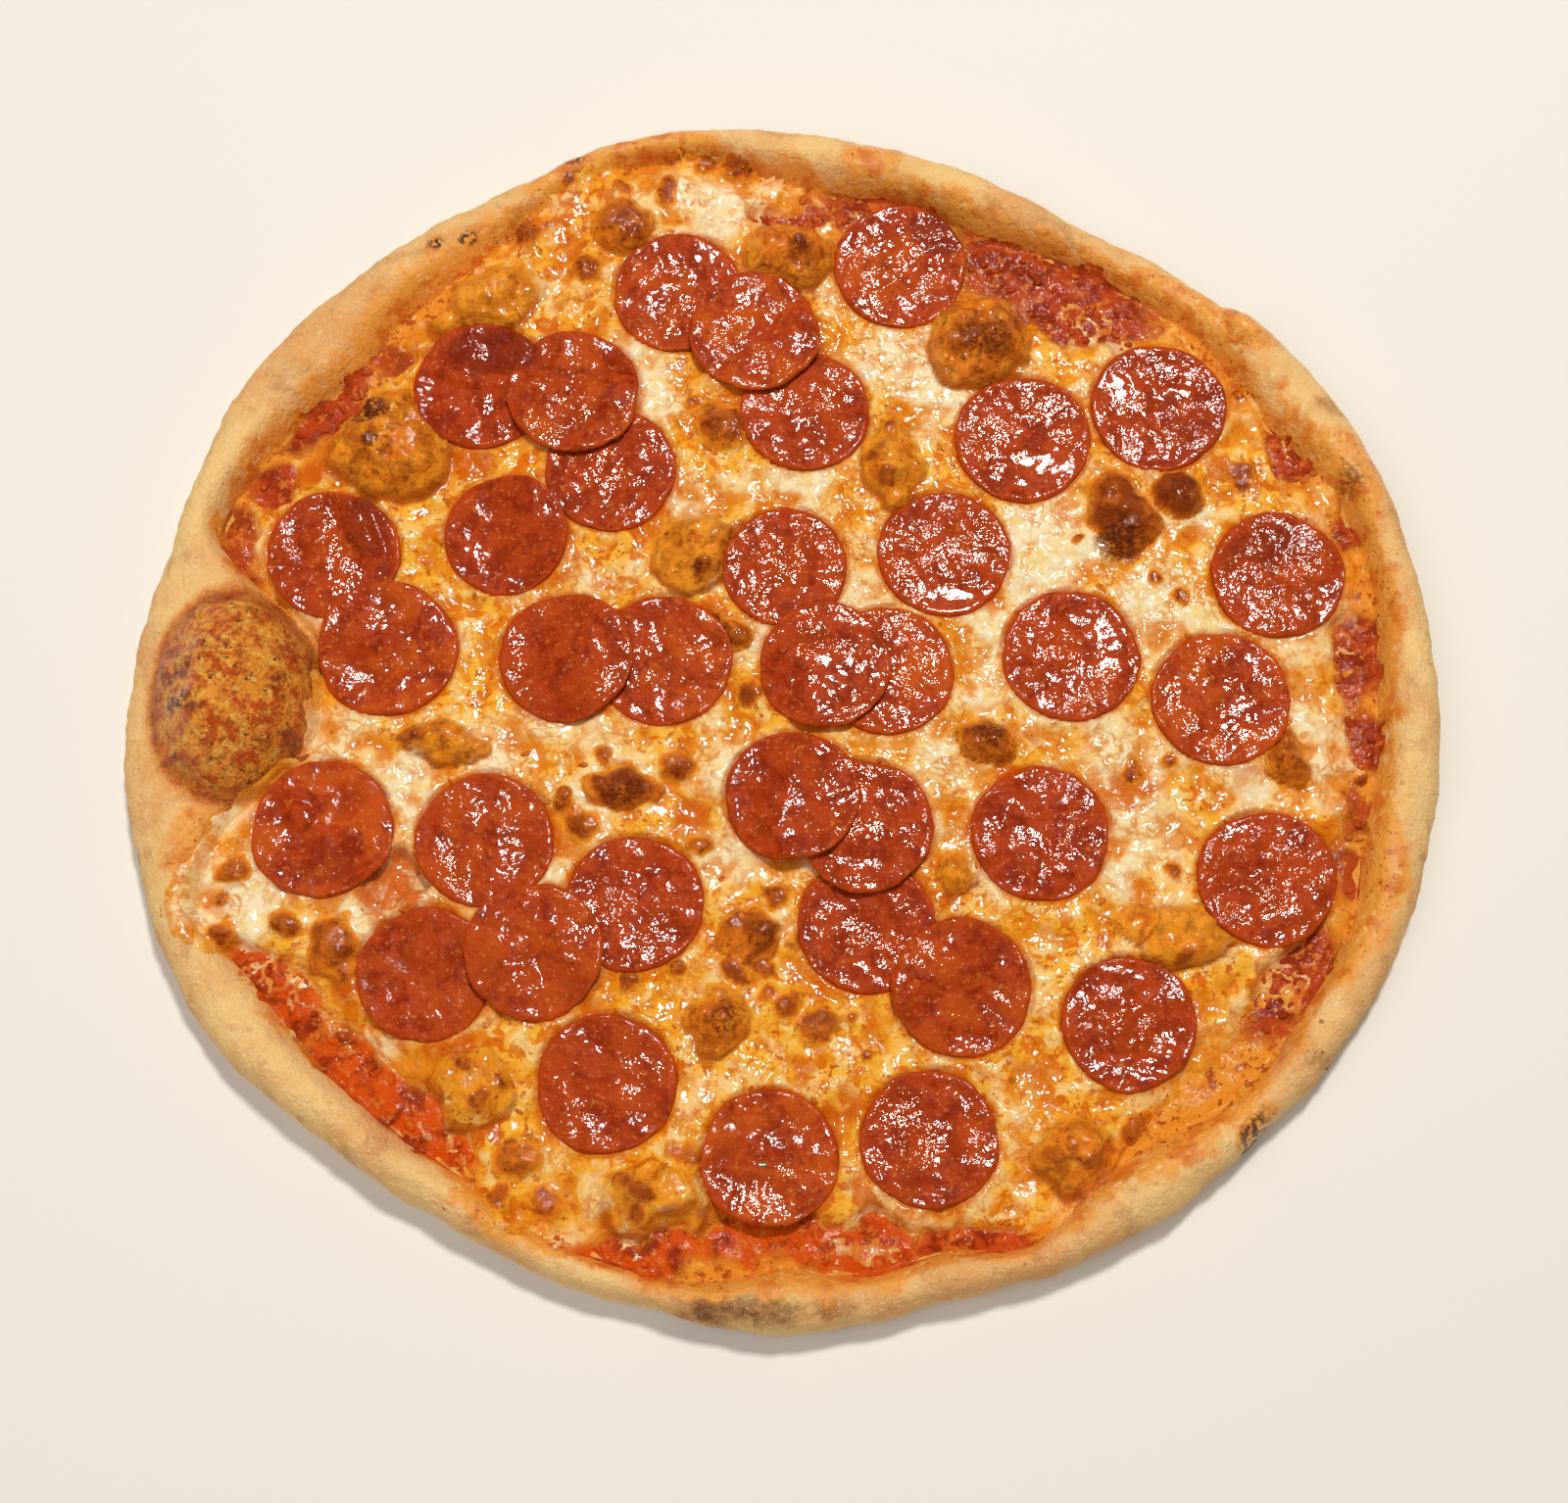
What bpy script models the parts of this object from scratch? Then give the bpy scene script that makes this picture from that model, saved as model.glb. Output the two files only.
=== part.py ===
"""A whole baked pizza, uncut, lying flat: dough, tomato sauce, melted cheese and 36 slices of salami.

Metres, +Z up, origin in the middle of the flat underside. +Y points away from whoever eats it.
The heights of all pieces are functions of (x, y), so that each layer lies just clear of the one below it.
"""

import math

import bmesh
import bpy
from mathutils.geometry import delaunay_2d_cdt

MM = 0.001
CLEAR = 0.3 * MM  # between layers that touch
SLICE_CLEAR = 0.5 * MM  # under a slice, whose coarse facets cut a little into the bed's curve

# Dough: a thin floor and a raised rim
FLOOR = 5.0 * MM
FOOT_INSET = 7.0 * MM  # the underside's edge, in from the widest line
RIM_HEIGHT = 15.5 * MM
RIM_LOW = 10.5 * MM  # height of a rim of no width
RIM_WAVE = 1.3 * MM
SLOPE_TOP = 7.0 * MM  # the dough's height where the sauce ends
SECTORS = 96

# Widest line of the dough and outer edge of the sauce, as radii in mm at even steps of angle from +X
CRUST_RADII = (162.7, 162.7, 161.6, 154.3, 149.6, 151.5, 155.2, 158.6, 156.6, 159.3, 161.5, 160,
               163.2, 164.4, 163.8, 156.9, 153.8, 154.4, 156.5, 154.3, 157.4, 158.5, 162.4, 163.2)
SAUCE_RADII = (148, 150, 151, 148, 143.5, 144, 143, 140, 138.5, 135, 138.5, 138,
               141, 148, 151, 150, 143.5, 141.5, 141.5, 139.5, 144, 147, 147.5, 122,
               115.5, 118, 140, 152, 147.5, 146.5, 144.5, 143.5, 143, 146, 146.5, 146.5,
               142, 145, 143.5, 148, 143, 142.5, 148, 149, 149, 150, 147, 148)
# How far the cheese stops short of the sauce, in mm
SAUCE_BAND = (12, 8, 5, 10, 18, 11, 8, 4, 4, 9, 13, 9, 4, 4, 9, 16, 7, 9, 12, 8, 4, 15, 10, 9)

SAUCE_THICK = 1.0 * MM
CHEESE_TOP = 9.4 * MM  # level of the melted cheese between the slices
CHEESE_EDGE = 0.7 * MM
CHEESE_SHOULDER = 11.0 * MM  # over which its edge thickens
CHEESE_GRID = 4.9 * MM

# Salami
SLICE_THICK = 1.3 * MM
SLICE_BED = 9.7 * MM
SLICE_CUP = 0.5 * MM  # the rim stands this much above the middle
SLICE_SECTORS = 20
SLICE_RINGS = (0.6, 1.0)
DRAPE_MARGIN = 2.5 * MM  # a slice on another stays up this far past its edge
DRAPE_FALL = 16.0 * MM

# Slices in mm: centre x, y, radius, and how deep in the stack each lies: 0 on the cheese, 1 and 2 on others
SLICES = (
    (-78, 80.5, 18, 0), (-53.9, 78.1, 17.6, 1), (-44.1, 57.2, 17.1, 0), (-70.5, 39.9, 16.2, 1),
    (-114, 34.5, 17.3, 0), (-99.3, 9, 17.9, 1), (-112.8, -37.3, 17.8, 0), (-72.7, -40.1, 17.4, 0),
    (-86, -73.3, 16.9, 0), (-60.1, -67.7, 17.3, 1), (-36.3, -55.5, 17.3, 0), (-42.3, -99.5, 17.2, 0),
    (-3.7, -116.9, 16.8, 0), (34.3, -112.5, 16.9, 0), (42.7, -76.5, 17.3, 1), (19.8, -60.8, 17.2, 0),
    (19.5, -36.3, 17.3, 1), (1.8, -29.3, 17.1, 2), (9.8, 4, 16.8, 1), (25.5, 3.1, 17.2, 0),
    (0.4, 30.6, 16.3, 0), (40.4, 34.5, 17.3, 0), (-54.5, 7.3, 17.3, 1), (-29.9, 6.3, 17.4, 0),
    (-28, 107.1, 17.4, 0), (-7.9, 95.5, 17.4, 1), (5.7, 73.7, 17.2, 0), (30.5, 114.9, 17.8, 0),
    (61, 66.3, 17.9, 0), (96.1, 74.7, 17.9, 0), (123.9, 28.5, 17.2, 0), (71.2, 7.3, 17.7, 0),
    (108.5, -3.9, 17.7, 0), (62.7, -38.5, 17.4, 0), (116.9, -49.5, 17.4, 0), (82.1, -84.8, 16.6, 0),
)

# Bubbles in mm: centre x, y, half sizes, turn in degrees, height over what surrounds them
RIM_BUBBLES = (
    (-136, -4, 21, 28, 0, 17), (120, 97, 7, 9, 40, 4), (112, -112, 6, 8, -25, 2.5), (23, 146, 8, 7, 0, 2),
    (-58, 141, 12, 7, 20, 3), (142, 55, 10, 12, 20, 2.5), (-11, -151, 13, 5, 0, 2), (-126, 82, 9, 8, 40, 2.5),
)
CHEESE_BUBBLES = (
    (-101, 65, 17, 15.5, -30, 9), (1.5, 118, 13, 9.5, 0, 8), (50.5, 93.5, 13, 13, 0, 9.5), (85.5, 46, 8, 11.5, 20, 6),
    (100.5, 50.5, 6, 5.5, 0, 5), (61.5, 110.5, 6.5, 6.5, 0, 4), (68.5, -116, 10, 9, 0, 7), (96.5, -63.5, 11, 8, 0, 6),
    (-29.5, -126.5, 13, 10, 0, 6), (-74.5, -100.5, 10, 10, 0, 6), (27.5, 59, 8, 12, 0, 5), (-22.5, 33.5, 10, 10.5, 0, 6),
    (-39.5, -26.5, 9, 5.5, 0, 4), (-15.5, -84.5, 8, 9, 0, 5), (49.5, -15.5, 7, 6, 0, 5), (-83.5, -15.5, 10, 5.5, -8, 5.5),
    (-108.5, -66.5, 5.5, 8, 0, 4), (123.5, -19.5, 5.5, 6.5, 0, 5), (-78.5, 104.5, 16, 11, 20, 6),
    (41.5, -48.5, 5, 5.5, 0, 3), (-8.5, -63.5, 7, 7, 0, 3), (-42.5, 126.5, 8.5, 8, 0, 4.5), (83, -110.5, 5, 5, 0, 3.5),
    (-13, 12.5, 5, 5, 0, 3), (115, -83.5, 6, 6, 0, 3.5), (84.5, -60.5, 5, 5, 0, 3),
)


def clear_scene():
    for obj in list(bpy.data.objects):
        bpy.data.objects.remove(obj)


def smooth(low, high, value):
    """0 below low, 1 above high, and an S between."""
    t = min(1.0, max(0.0, (value - low) / (high - low)))
    return t * t * (3 - 2 * t)


def around(values, angle):
    """The value at an angle of a closed smooth curve through evenly spaced values."""
    count = len(values)
    place = (angle / math.tau) % 1.0 * count
    k = int(place)
    t = place - k
    a, b, c, d = (values[(k + i) % count] for i in (-1, 0, 1, 2))
    return b + 0.5 * t * (c - a + t * (2 * a - 5 * b + 4 * c - d + t * (3 * (b - c) + d - a)))


def crust_radius(angle):
    return around(CRUST_RADII, angle) * MM


def sauce_radius(angle):
    return around(SAUCE_RADII, angle) * MM


def cheese_radius(angle):
    return sauce_radius(angle) - around(SAUCE_BAND, angle) * MM


def inner_radius(angle):
    """The line inside which floor, sauce and the cheese's underside are flat."""
    return cheese_radius(angle) - CHEESE_SHOULDER


def bubble(x, y, shape):
    """Height of one bubble's dome at (x, y), zero outside it."""
    cx, cy, rx, ry, turn, height = shape
    a = math.radians(turn)
    dx, dy = x / MM - cx, y / MM - cy
    u = (dx * math.cos(a) + dy * math.sin(a)) / rx
    v = (dy * math.cos(a) - dx * math.sin(a)) / ry
    inside = max(0.0, 1 - u * u - v * v)
    return height * MM * inside ** 0.6


def tallest(x, y, shapes):
    return max(bubble(x, y, s) for s in shapes)


def swell(x, y):
    """The slow waves of the whole topping, which die out towards the rim."""
    wave = 0.7 * math.sin(x / (38 * MM) + 0.6) * math.cos(y / (31 * MM) - 0.4)
    wave += 0.45 * math.sin((x + y) / (27 * MM) + 1.0)
    return wave * MM * (1 - smooth(100 * MM, 130 * MM, math.hypot(x, y)))


def slice_bed(x, y):
    """Height of the underside of a slice that lies on the cheese: higher where the dough starts to rise."""
    return SLICE_BED + swell(x, y) + 0.9 * MM * smooth(110 * MM, 140 * MM, math.hypot(x, y))


def overlaps(a, b):
    return math.hypot(a[0] - b[0], a[1] - b[1]) < a[2] + b[2]


def slice_underside(k, x, y):
    """Height of slice k's underside: on its bed, or draped over the slices below it."""
    cx, cy, radius, level = SLICES[k]
    base = slice_bed(x, y)
    lift = 0.0
    for j, other in enumerate(SLICES):
        if other[3] >= level or not overlaps(SLICES[k], other):
            continue
        past_edge = math.hypot(x - other[0] * MM, y - other[1] * MM) - other[2] * MM
        held = 1 - smooth(DRAPE_MARGIN, DRAPE_MARGIN + DRAPE_FALL, past_edge)
        lift = max(lift, held * (slice_underside(j, x, y) + SLICE_THICK + SLICE_CLEAR - base))
    out = math.hypot(x - cx * MM, y - cy * MM) / (radius * MM)
    return base + lift + SLICE_CUP * min(out, 1.2) ** 2


def lowest_slice(x, y, margin):
    """Underside of the lowest slice over (x, y), or None where there is no slice within the margin."""
    found = [slice_underside(k, x, y) for k, s in enumerate(SLICES)
             if math.hypot(x - s[0] * MM, y - s[1] * MM) < s[2] * MM + margin]
    return min(found) if found else None


def rim_height(angle):
    """Crown of the rim, lower where the topping reaches far out."""
    width = crust_radius(angle) - sauce_radius(angle)
    wave = RIM_WAVE * (math.sin(5 * angle + 0.5) + 0.6 * math.sin(11 * angle + 2.0))
    return min(RIM_HEIGHT, RIM_LOW + 0.35 * width) + 0.6 * wave


def crust_rings():
    """Each ring of the dough, from the middle of its floor, over the rim and round to the underside's edge:
    functions of the angle that give a radius and a height."""
    def between(share, rise):
        def radius(a):
            return crust_radius(a) + (sauce_radius(a) - crust_radius(a)) * share

        def height(a):
            crown = rim_height(a)
            z = SLOPE_TOP + (crown - SLOPE_TOP) * rise
            r = radius(a)
            x, y = r * math.cos(a), r * math.sin(a)
            return z + max(0.0, tallest(x, y, RIM_BUBBLES) - 0.35 * (z - SLOPE_TOP))
        return radius, height

    rings = [(inner_radius, lambda a: FLOOR), (cheese_radius, lambda a: FLOOR + 0.5 * MM),
             (sauce_radius, lambda a: SLOPE_TOP)]
    for share, rise in ((0.88, 0.5), (0.75, 0.78), (0.62, 0.93), (0.5, 1.0), (0.3, 0.95), (0.12, 0.68)):
        rings.append(between(share, rise))
    rings.append((crust_radius, lambda a: 0.42 * rim_height(a)))
    rings.append((lambda a: crust_radius(a) - 1.8 * MM, lambda a: 2.4 * MM))
    rings.append((lambda a: crust_radius(a) - FOOT_INSET, lambda a: 0.0))
    return rings


def ring_of_points(radius, height, sectors=SECTORS):
    points = []
    for k in range(sectors):
        a = math.tau * k / sectors
        points.append((radius(a) * math.cos(a), radius(a) * math.sin(a), height(a)))
    return points


def add_ring(bm, points):
    return [bm.verts.new(p) for p in points]


def join_rings(bm, first, second):
    """A band of quads between two rings of as many points."""
    count = len(first)
    for k in range(count):
        n = (k + 1) % count
        bm.faces.new((first[k], first[n], second[n], second[k]))


def finish(bm, name, material, place=(0.0, 0.0, 0.0)):
    """Turns the mesh into a named, smooth-shaded object at its place, with faces that point outwards."""
    bmesh.ops.recalc_face_normals(bm, faces=bm.faces[:])
    bmesh.ops.triangulate(bm, faces=[f for f in bm.faces if len(f.verts) > 4])
    mesh = bpy.data.meshes.new(name)
    bm.to_mesh(mesh)
    bm.free()
    mesh.shade_smooth()
    mesh.set_sharp_from_angle(angle=math.radians(40))
    mesh.materials.append(material)
    obj = bpy.data.objects.new(name, mesh)
    obj.location = place
    bpy.context.scene.collection.objects.link(obj)
    return obj


def make_material(name, colour, roughness):
    material = bpy.data.materials.new(name)
    material.use_nodes = True
    shader = material.node_tree.nodes["Principled BSDF"]
    shader.inputs["Base Color"].default_value = (*colour, 1.0)
    shader.inputs["Roughness"].default_value = roughness
    shader.inputs["Metallic"].default_value = 0.0
    return material


def make_crust(material):
    bm = bmesh.new()
    rings = [add_ring(bm, ring_of_points(*ring)) for ring in crust_rings()]
    for first, second in zip(rings, rings[1:]):
        join_rings(bm, first, second)
    bm.faces.new(rings[0])
    bm.faces.new(rings[-1])
    return finish(bm, "crust", material)


def sauce_top(ring):
    """Heights of the sauce's upper face at its three rings: flat, under the cheese's edge, and at its own."""
    return (FLOOR + CLEAR + SAUCE_THICK, FLOOR + 0.5 * MM + CLEAR + SAUCE_THICK, SLOPE_TOP + CLEAR + 0.8 * MM)[ring]


def make_sauce(material):
    bm = bmesh.new()
    radii = (inner_radius, cheese_radius, sauce_radius)
    floor = (FLOOR, FLOOR + 0.5 * MM, SLOPE_TOP)
    low = [add_ring(bm, ring_of_points(r, lambda a, z=z: z + CLEAR)) for r, z in zip(radii, floor)]
    high = [add_ring(bm, ring_of_points(r, lambda a, k=k: sauce_top(k))) for k, r in enumerate(radii)]
    for rings in (low, high):
        for first, second in zip(rings, rings[1:]):
            join_rings(bm, first, second)
        bm.faces.new(rings[0])
    join_rings(bm, low[-1], high[-1])
    return finish(bm, "tomato_sauce", material)


def cheese_height(x, y):
    """Top of the cheese: a melted sheet with bubbles, thin at its edge, pressed down where slices lie."""
    r, a = math.hypot(x, y), math.atan2(y, x)
    edge = cheese_radius(a) - r
    full = smooth(0.0, CHEESE_SHOULDER, edge)
    low = sauce_top(1) + CLEAR + CHEESE_EDGE
    lumps = 0.35 * MM * math.sin(x / (4.3 * MM)) * math.sin(y / (3.7 * MM) + 0.8)
    top = low + (CHEESE_TOP + swell(x, y) + lumps - low) * full
    top += tallest(x, y, CHEESE_BUBBLES) * smooth(-1.0 * MM, 4.0 * MM, edge)
    slice_over = lowest_slice(x, y, 1.2 * MM)
    if slice_over is not None:
        top = min(top, slice_over - SLICE_CLEAR)
    return top


def cheese_points():
    """Points of the cheese's upper face: its edge, a ring round each slice, and a grid over what shows."""
    edge = [(p[0], p[1]) for p in ring_of_points(cheese_radius, lambda a: 0.0)]
    inner = []

    def add(x, y, apart):
        a = math.atan2(y, x)
        if math.hypot(x, y) > cheese_radius(a) - 2.2 * MM:
            return
        if all(math.hypot(x - px, y - py) > apart for px, py in inner):
            inner.append((x, y))

    for cx, cy, radius, _ in SLICES:
        for k in range(SLICE_SECTORS):
            a = math.tau * k / SLICE_SECTORS
            r = (radius + 0.7) * MM
            x, y = cx * MM + r * math.cos(a), cy * MM + r * math.sin(a)
            if lowest_slice(x, y, 0.3 * MM) is None:
                add(x, y, 1.5 * MM)
    for cx, cy, _, _ in SLICES:
        add(cx * MM, cy * MM, 3 * MM)
    rows = int(330 * MM / (CHEESE_GRID * 0.866))
    for j in range(-rows // 2, rows // 2 + 1):
        for i in range(-rows // 2, rows // 2 + 1):
            x = (i + 0.5 * (j % 2)) * CHEESE_GRID
            y = j * CHEESE_GRID * 0.866
            if lowest_slice(x, y, 0.0) is None:
                add(x, y, 2.6 * MM)
    return edge, inner


def make_cheese(material):
    bm = bmesh.new()
    edge, inner = cheese_points()
    count = len(edge)
    found = delaunay_2d_cdt(edge + inner, [], [list(range(count))], 1, 1e-7)
    flat, faces = found[0], found[2]
    top = [bm.verts.new((p.x, p.y, cheese_height(p.x, p.y))) for p in flat]
    for face in faces:
        bm.faces.new([top[k] for k in face])
    low = add_ring(bm, ring_of_points(cheese_radius, lambda a: sauce_top(1) + CLEAR))
    flat_ring = add_ring(bm, ring_of_points(inner_radius, lambda a: sauce_top(0) + CLEAR))
    join_rings(bm, top[:count], low)
    join_rings(bm, low, flat_ring)
    bm.faces.new(flat_ring)
    return finish(bm, "cheese", material)


def make_slice(k, material):
    """One salami slice: a thin disc a little out of round, cupped, and draped over what it lies on."""
    cx, cy, radius, _ = SLICES[k]
    bm = bmesh.new()

    def point(share, sector, up):
        a = math.tau * sector / SLICE_SECTORS
        uneven = 1 - 0.012 * (1 + math.sin(3 * a + k)) - 0.008 * (1 + math.sin(5 * a + 2 * k))
        r = radius * MM * share * uneven
        x, y = r * math.cos(a), r * math.sin(a)
        z = slice_underside(k, cx * MM + x, cy * MM + y) - SLICE_BED
        return bm.verts.new((x, y, z + up))

    faces = []
    for up in (0.0, SLICE_THICK):
        middle = point(0.0, 0, up)
        rings = [[point(share, s, up) for s in range(SLICE_SECTORS)] for share in SLICE_RINGS]
        for s in range(SLICE_SECTORS):
            bm.faces.new((middle, rings[0][s], rings[0][(s + 1) % SLICE_SECTORS]))
        join_rings(bm, *rings)
        faces.append(rings[-1])
    join_rings(bm, *faces)
    return finish(bm, f"salami_{k + 1:02d}", material, (cx * MM, cy * MM, SLICE_BED))


def build():
    clear_scene()
    dough = make_material("baked_dough", (0.71, 0.47, 0.22), 0.75)
    tomato = make_material("tomato_sauce", (0.42, 0.05, 0.02), 0.4)
    melted = make_material("melted_cheese", (0.85, 0.55, 0.17), 0.35)
    salami = make_material("salami", (0.42, 0.07, 0.03), 0.3)
    make_crust(dough)
    make_sauce(tomato)
    make_cheese(melted)
    for k in range(len(SLICES)):
        make_slice(k, salami)


build()
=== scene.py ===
import math

import bpy
import numpy as np
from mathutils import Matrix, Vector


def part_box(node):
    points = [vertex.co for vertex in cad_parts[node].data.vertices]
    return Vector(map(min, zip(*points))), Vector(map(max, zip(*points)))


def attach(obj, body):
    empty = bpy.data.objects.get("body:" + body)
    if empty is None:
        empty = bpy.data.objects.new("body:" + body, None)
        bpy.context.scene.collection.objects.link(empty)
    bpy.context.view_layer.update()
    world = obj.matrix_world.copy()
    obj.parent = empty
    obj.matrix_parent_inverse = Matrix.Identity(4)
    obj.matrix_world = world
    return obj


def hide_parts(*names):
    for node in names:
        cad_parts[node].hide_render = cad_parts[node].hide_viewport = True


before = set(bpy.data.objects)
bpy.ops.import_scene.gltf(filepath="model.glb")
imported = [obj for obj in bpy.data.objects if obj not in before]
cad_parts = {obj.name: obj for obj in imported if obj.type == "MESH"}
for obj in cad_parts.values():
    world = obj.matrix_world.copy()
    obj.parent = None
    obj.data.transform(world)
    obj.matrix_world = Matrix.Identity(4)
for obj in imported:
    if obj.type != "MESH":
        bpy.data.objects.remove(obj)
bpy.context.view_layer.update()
print("frame loaded:", len(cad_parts), "nodes")

# Sizes below are in millimetres, and meshes are turned to metres as they are made
mm = 0.001
turn = math.tau


# Camera and light

view = {
    "stand": (-0.1, -179.6, 567.1),  # where the camera is
    "aim": (-0.1, -14.3, 0),
    "lens": 54,
    "keyPlace": (205, 625, 1600),  # behind and above, so that wet spots catch it
    "keySize": 235,
    "keyPower": 18.5,
    "keyTint": "#fff8ec",
    "fillPlace": (-700, -500, 1500),
    "fillSize": 1500,
    "fillPower": 8.5,
    "fillTint": "#fffaf4",
    "daylight": "#fffaf2",
    "dayStrength": 0.2,
    "floor": "#f5f4f1",
    "floorHalf": 2000,
    "floorDrop": 0.2,  # keeps it just under the dough
}


def colour(code):
    # sRGB hex to the linear values that shaders take
    parts = [int(code[i:i + 2], 16) / 255 for i in (1, 3, 5)]
    return tuple(c / 12.92 if c <= 0.04045 else ((c + 0.055) / 1.055) ** 2.4 for c in parts) + (1.0,)


def addNode(tree, kind, out=0, settings=None, **inputs):
    # One node with its settings, each input a value or another node's output; gives one of its outputs
    node = tree.nodes.new(kind)
    for name, value in (settings or {}).items():
        setattr(node, name, value)
    for name, value in inputs.items():
        socket = node.inputs[int(name[1:])] if name[0] == "_" else node.inputs[name.replace("_", " ")]
        if isinstance(value, bpy.types.NodeSocket):
            tree.links.new(value, socket)
        else:
            socket.default_value = value
    return node.outputs[out] if node.outputs else node


def newMaterial(name, patterns=None, marks=()):
    # A material's tree, its noise patterns (size in mm, detail, roughness, bend) and the marks of its mesh
    material = bpy.data.materials.new(name)
    material.use_nodes = True
    tree = material.node_tree
    tree.nodes.clear()
    place = addNode(tree, "ShaderNodeTexCoord", "Object")
    noise = {key: addNode(tree, "ShaderNodeTexNoise", Vector=place, Scale=1 / (size * mm), Detail=detail,
                          Roughness=rough, Distortion=bend)
             for key, (size, detail, rough, bend) in (patterns or {}).items()}
    read = [addNode(tree, "ShaderNodeAttribute", "Fac", {"attribute_name": mark}) for mark in marks]
    return material, tree, noise, read


def finishMaterial(tree, **inputs):
    surface = addNode(tree, "ShaderNodeBsdfPrincipled", **inputs)
    addNode(tree, "ShaderNodeOutputMaterial", Surface=surface)


def aimAt(obj, place, target):
    obj.location = [c * mm for c in place]
    direction = np.array(target) - np.array(place)
    away = math.hypot(direction[0], direction[1])
    pan = math.atan2(direction[1], direction[0]) - turn / 4
    obj.rotation_euler = (math.atan2(away, -direction[2]), 0, pan)


def addLight(name, place, size, power, tint):
    lamp = bpy.data.lights.new(name, "AREA")
    lamp.shape = "DISK"
    lamp.size = size * mm
    lamp.energy = power
    lamp.color = colour(tint)[:3]
    obj = bpy.data.objects.new(name, lamp)
    bpy.context.scene.collection.objects.link(obj)
    aimAt(obj, place, (0, 0, 0))
    return obj


def makeStudio():
    camera = bpy.data.objects.new("camera", bpy.data.cameras.new("camera"))
    camera.data.lens = view["lens"]
    camera.data.clip_start = 10 * mm
    bpy.context.scene.collection.objects.link(camera)
    bpy.context.scene.camera = camera
    aimAt(camera, view["stand"], view["aim"])
    addLight("keyLight", view["keyPlace"], view["keySize"], view["keyPower"], view["keyTint"])
    fill = addLight("fillLight", view["fillPlace"], view["fillSize"], view["fillPower"], view["fillTint"])
    fill.visible_glossy = False  # it lifts the shadows and leaves no veil on wet surfaces
    world = bpy.data.worlds.new("daylight")
    world.use_nodes = True
    sky = world.node_tree.nodes["Background"]
    sky.inputs["Color"].default_value = colour(view["daylight"])
    sky.inputs["Strength"].default_value = view["dayStrength"]
    world.cycles_visibility.glossy = False
    bpy.context.scene.world = world
    bpy.context.scene.view_settings.view_transform = "Standard"
    table = bpy.data.meshes.new("table")
    half = view["floorHalf"] * mm
    corners = [(-half, -half, 0), (half, -half, 0), (half, half, 0), (-half, half, 0)]
    table.from_pydata(corners, [], [(0, 1, 2, 3)])
    material, tree = newMaterial("palePaper")[:2]
    finishMaterial(tree, Base_Color=colour(view["floor"]), Roughness=0.9)
    table.materials.append(material)
    floor = bpy.data.objects.new("table", table)
    floor.location.z = -view["floorDrop"] * mm
    bpy.context.scene.collection.objects.link(floor)


makeStudio()
print("studio ready")


# What all shapes are made with

def smooth(low, high, value):
    t = np.clip((value - low) / (high - low), 0, 1)
    return t * t * (3 - 2 * t)


reliefCells = 128  # before the hills repeat


def relief(x, y, size, seed):
    # Random hills and hollows about size across, from about -1 to 1
    rng = np.random.default_rng(seed)
    way = rng.uniform(0, turn)
    u = (x * math.cos(way) - y * math.sin(way)) / size + rng.uniform(0, 90)
    v = (x * math.sin(way) + y * math.cos(way)) / size + rng.uniform(0, 90)
    slopes = rng.uniform(0, turn, (reliefCells, reliefCells))
    i, j = np.floor(u).astype(int), np.floor(v).astype(int)
    f, g = u - i, v - j
    a = f * f * f * (f * (f * 6 - 15) + 10)
    b = g * g * g * (g * (g * 6 - 15) + 10)

    def corner(di, dj):
        slope = slopes[(i + di) % reliefCells, (j + dj) % reliefCells]
        return np.cos(slope) * (f - di) + np.sin(slope) * (g - dj)

    near = corner(0, 0) * (1 - a) + corner(1, 0) * a
    far = corner(0, 1) * (1 - a) + corner(1, 1) * a
    return (near * (1 - b) + far * b) * 1.6


def roughRelief(x, y, size, seed, layers=3):
    # Relief with finer relief on it
    return sum(relief(x, y, size / 2 ** n, seed + n) / 2 ** n for n in range(layers))


def waves(x, y, sizes, further=0):
    # Several reliefs together (size across, height, seed), from other seeds where they are to differ
    return sum(height * relief(x, y, size, seed + further) for size, height, seed in sizes)


def bent(x, y, sizes):
    # Places moved a little at random, so that round shapes come out uneven
    return x + waves(x, y, sizes), y + waves(x, y, sizes, len(sizes))


def inside(x, y, shape):
    # 1 in the middle of an ellipse (x, y, half sizes, turn in degrees), 0 at its edge, less outside it
    cx, cy, rx, ry, way = shape[:5]
    a = math.radians(way)
    dx, dy = x - cx, y - cy
    u = (dx * math.cos(a) + dy * math.sin(a)) / rx
    v = (dy * math.cos(a) - dx * math.sin(a)) / ry
    return 1 - u * u - v * v


def domes(x, y, bubbles):
    # Height of the tallest of the bubbles (x, y, half sizes, turn, height)
    height = np.zeros_like(x)
    for shape in bubbles:
        height = np.maximum(height, shape[5] * np.clip(inside(x, y, shape), 0, 1) ** 0.75)
    return height


def spots(x, y, shapes, soft=0.5):
    # Strength of the strongest of some soft-edged spots (x, y, half sizes, turn, strength)
    strength = np.zeros_like(x)
    for shape in shapes:
        strength = np.maximum(strength, shape[5] * smooth(-soft, soft, inside(x, y, shape)))
    return strength


def roundSpots(places, strength=1.0):
    # Round spots (x, y, radius) in the form that spots() takes
    return [(x, y, r, r, 0, strength) for x, y, r in places]


def outlineOf(node, steps=96):
    # A node's outer edge: its radius at even steps of angle from +X
    points = np.array([v.co[:2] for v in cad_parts[node].data.vertices]) / mm
    step = np.round(np.arctan2(points[:, 1], points[:, 0]) / turn * steps).astype(int) % steps
    edge = np.zeros(steps)
    np.maximum.at(edge, step, np.hypot(points[:, 0], points[:, 1]))
    return edge


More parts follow.
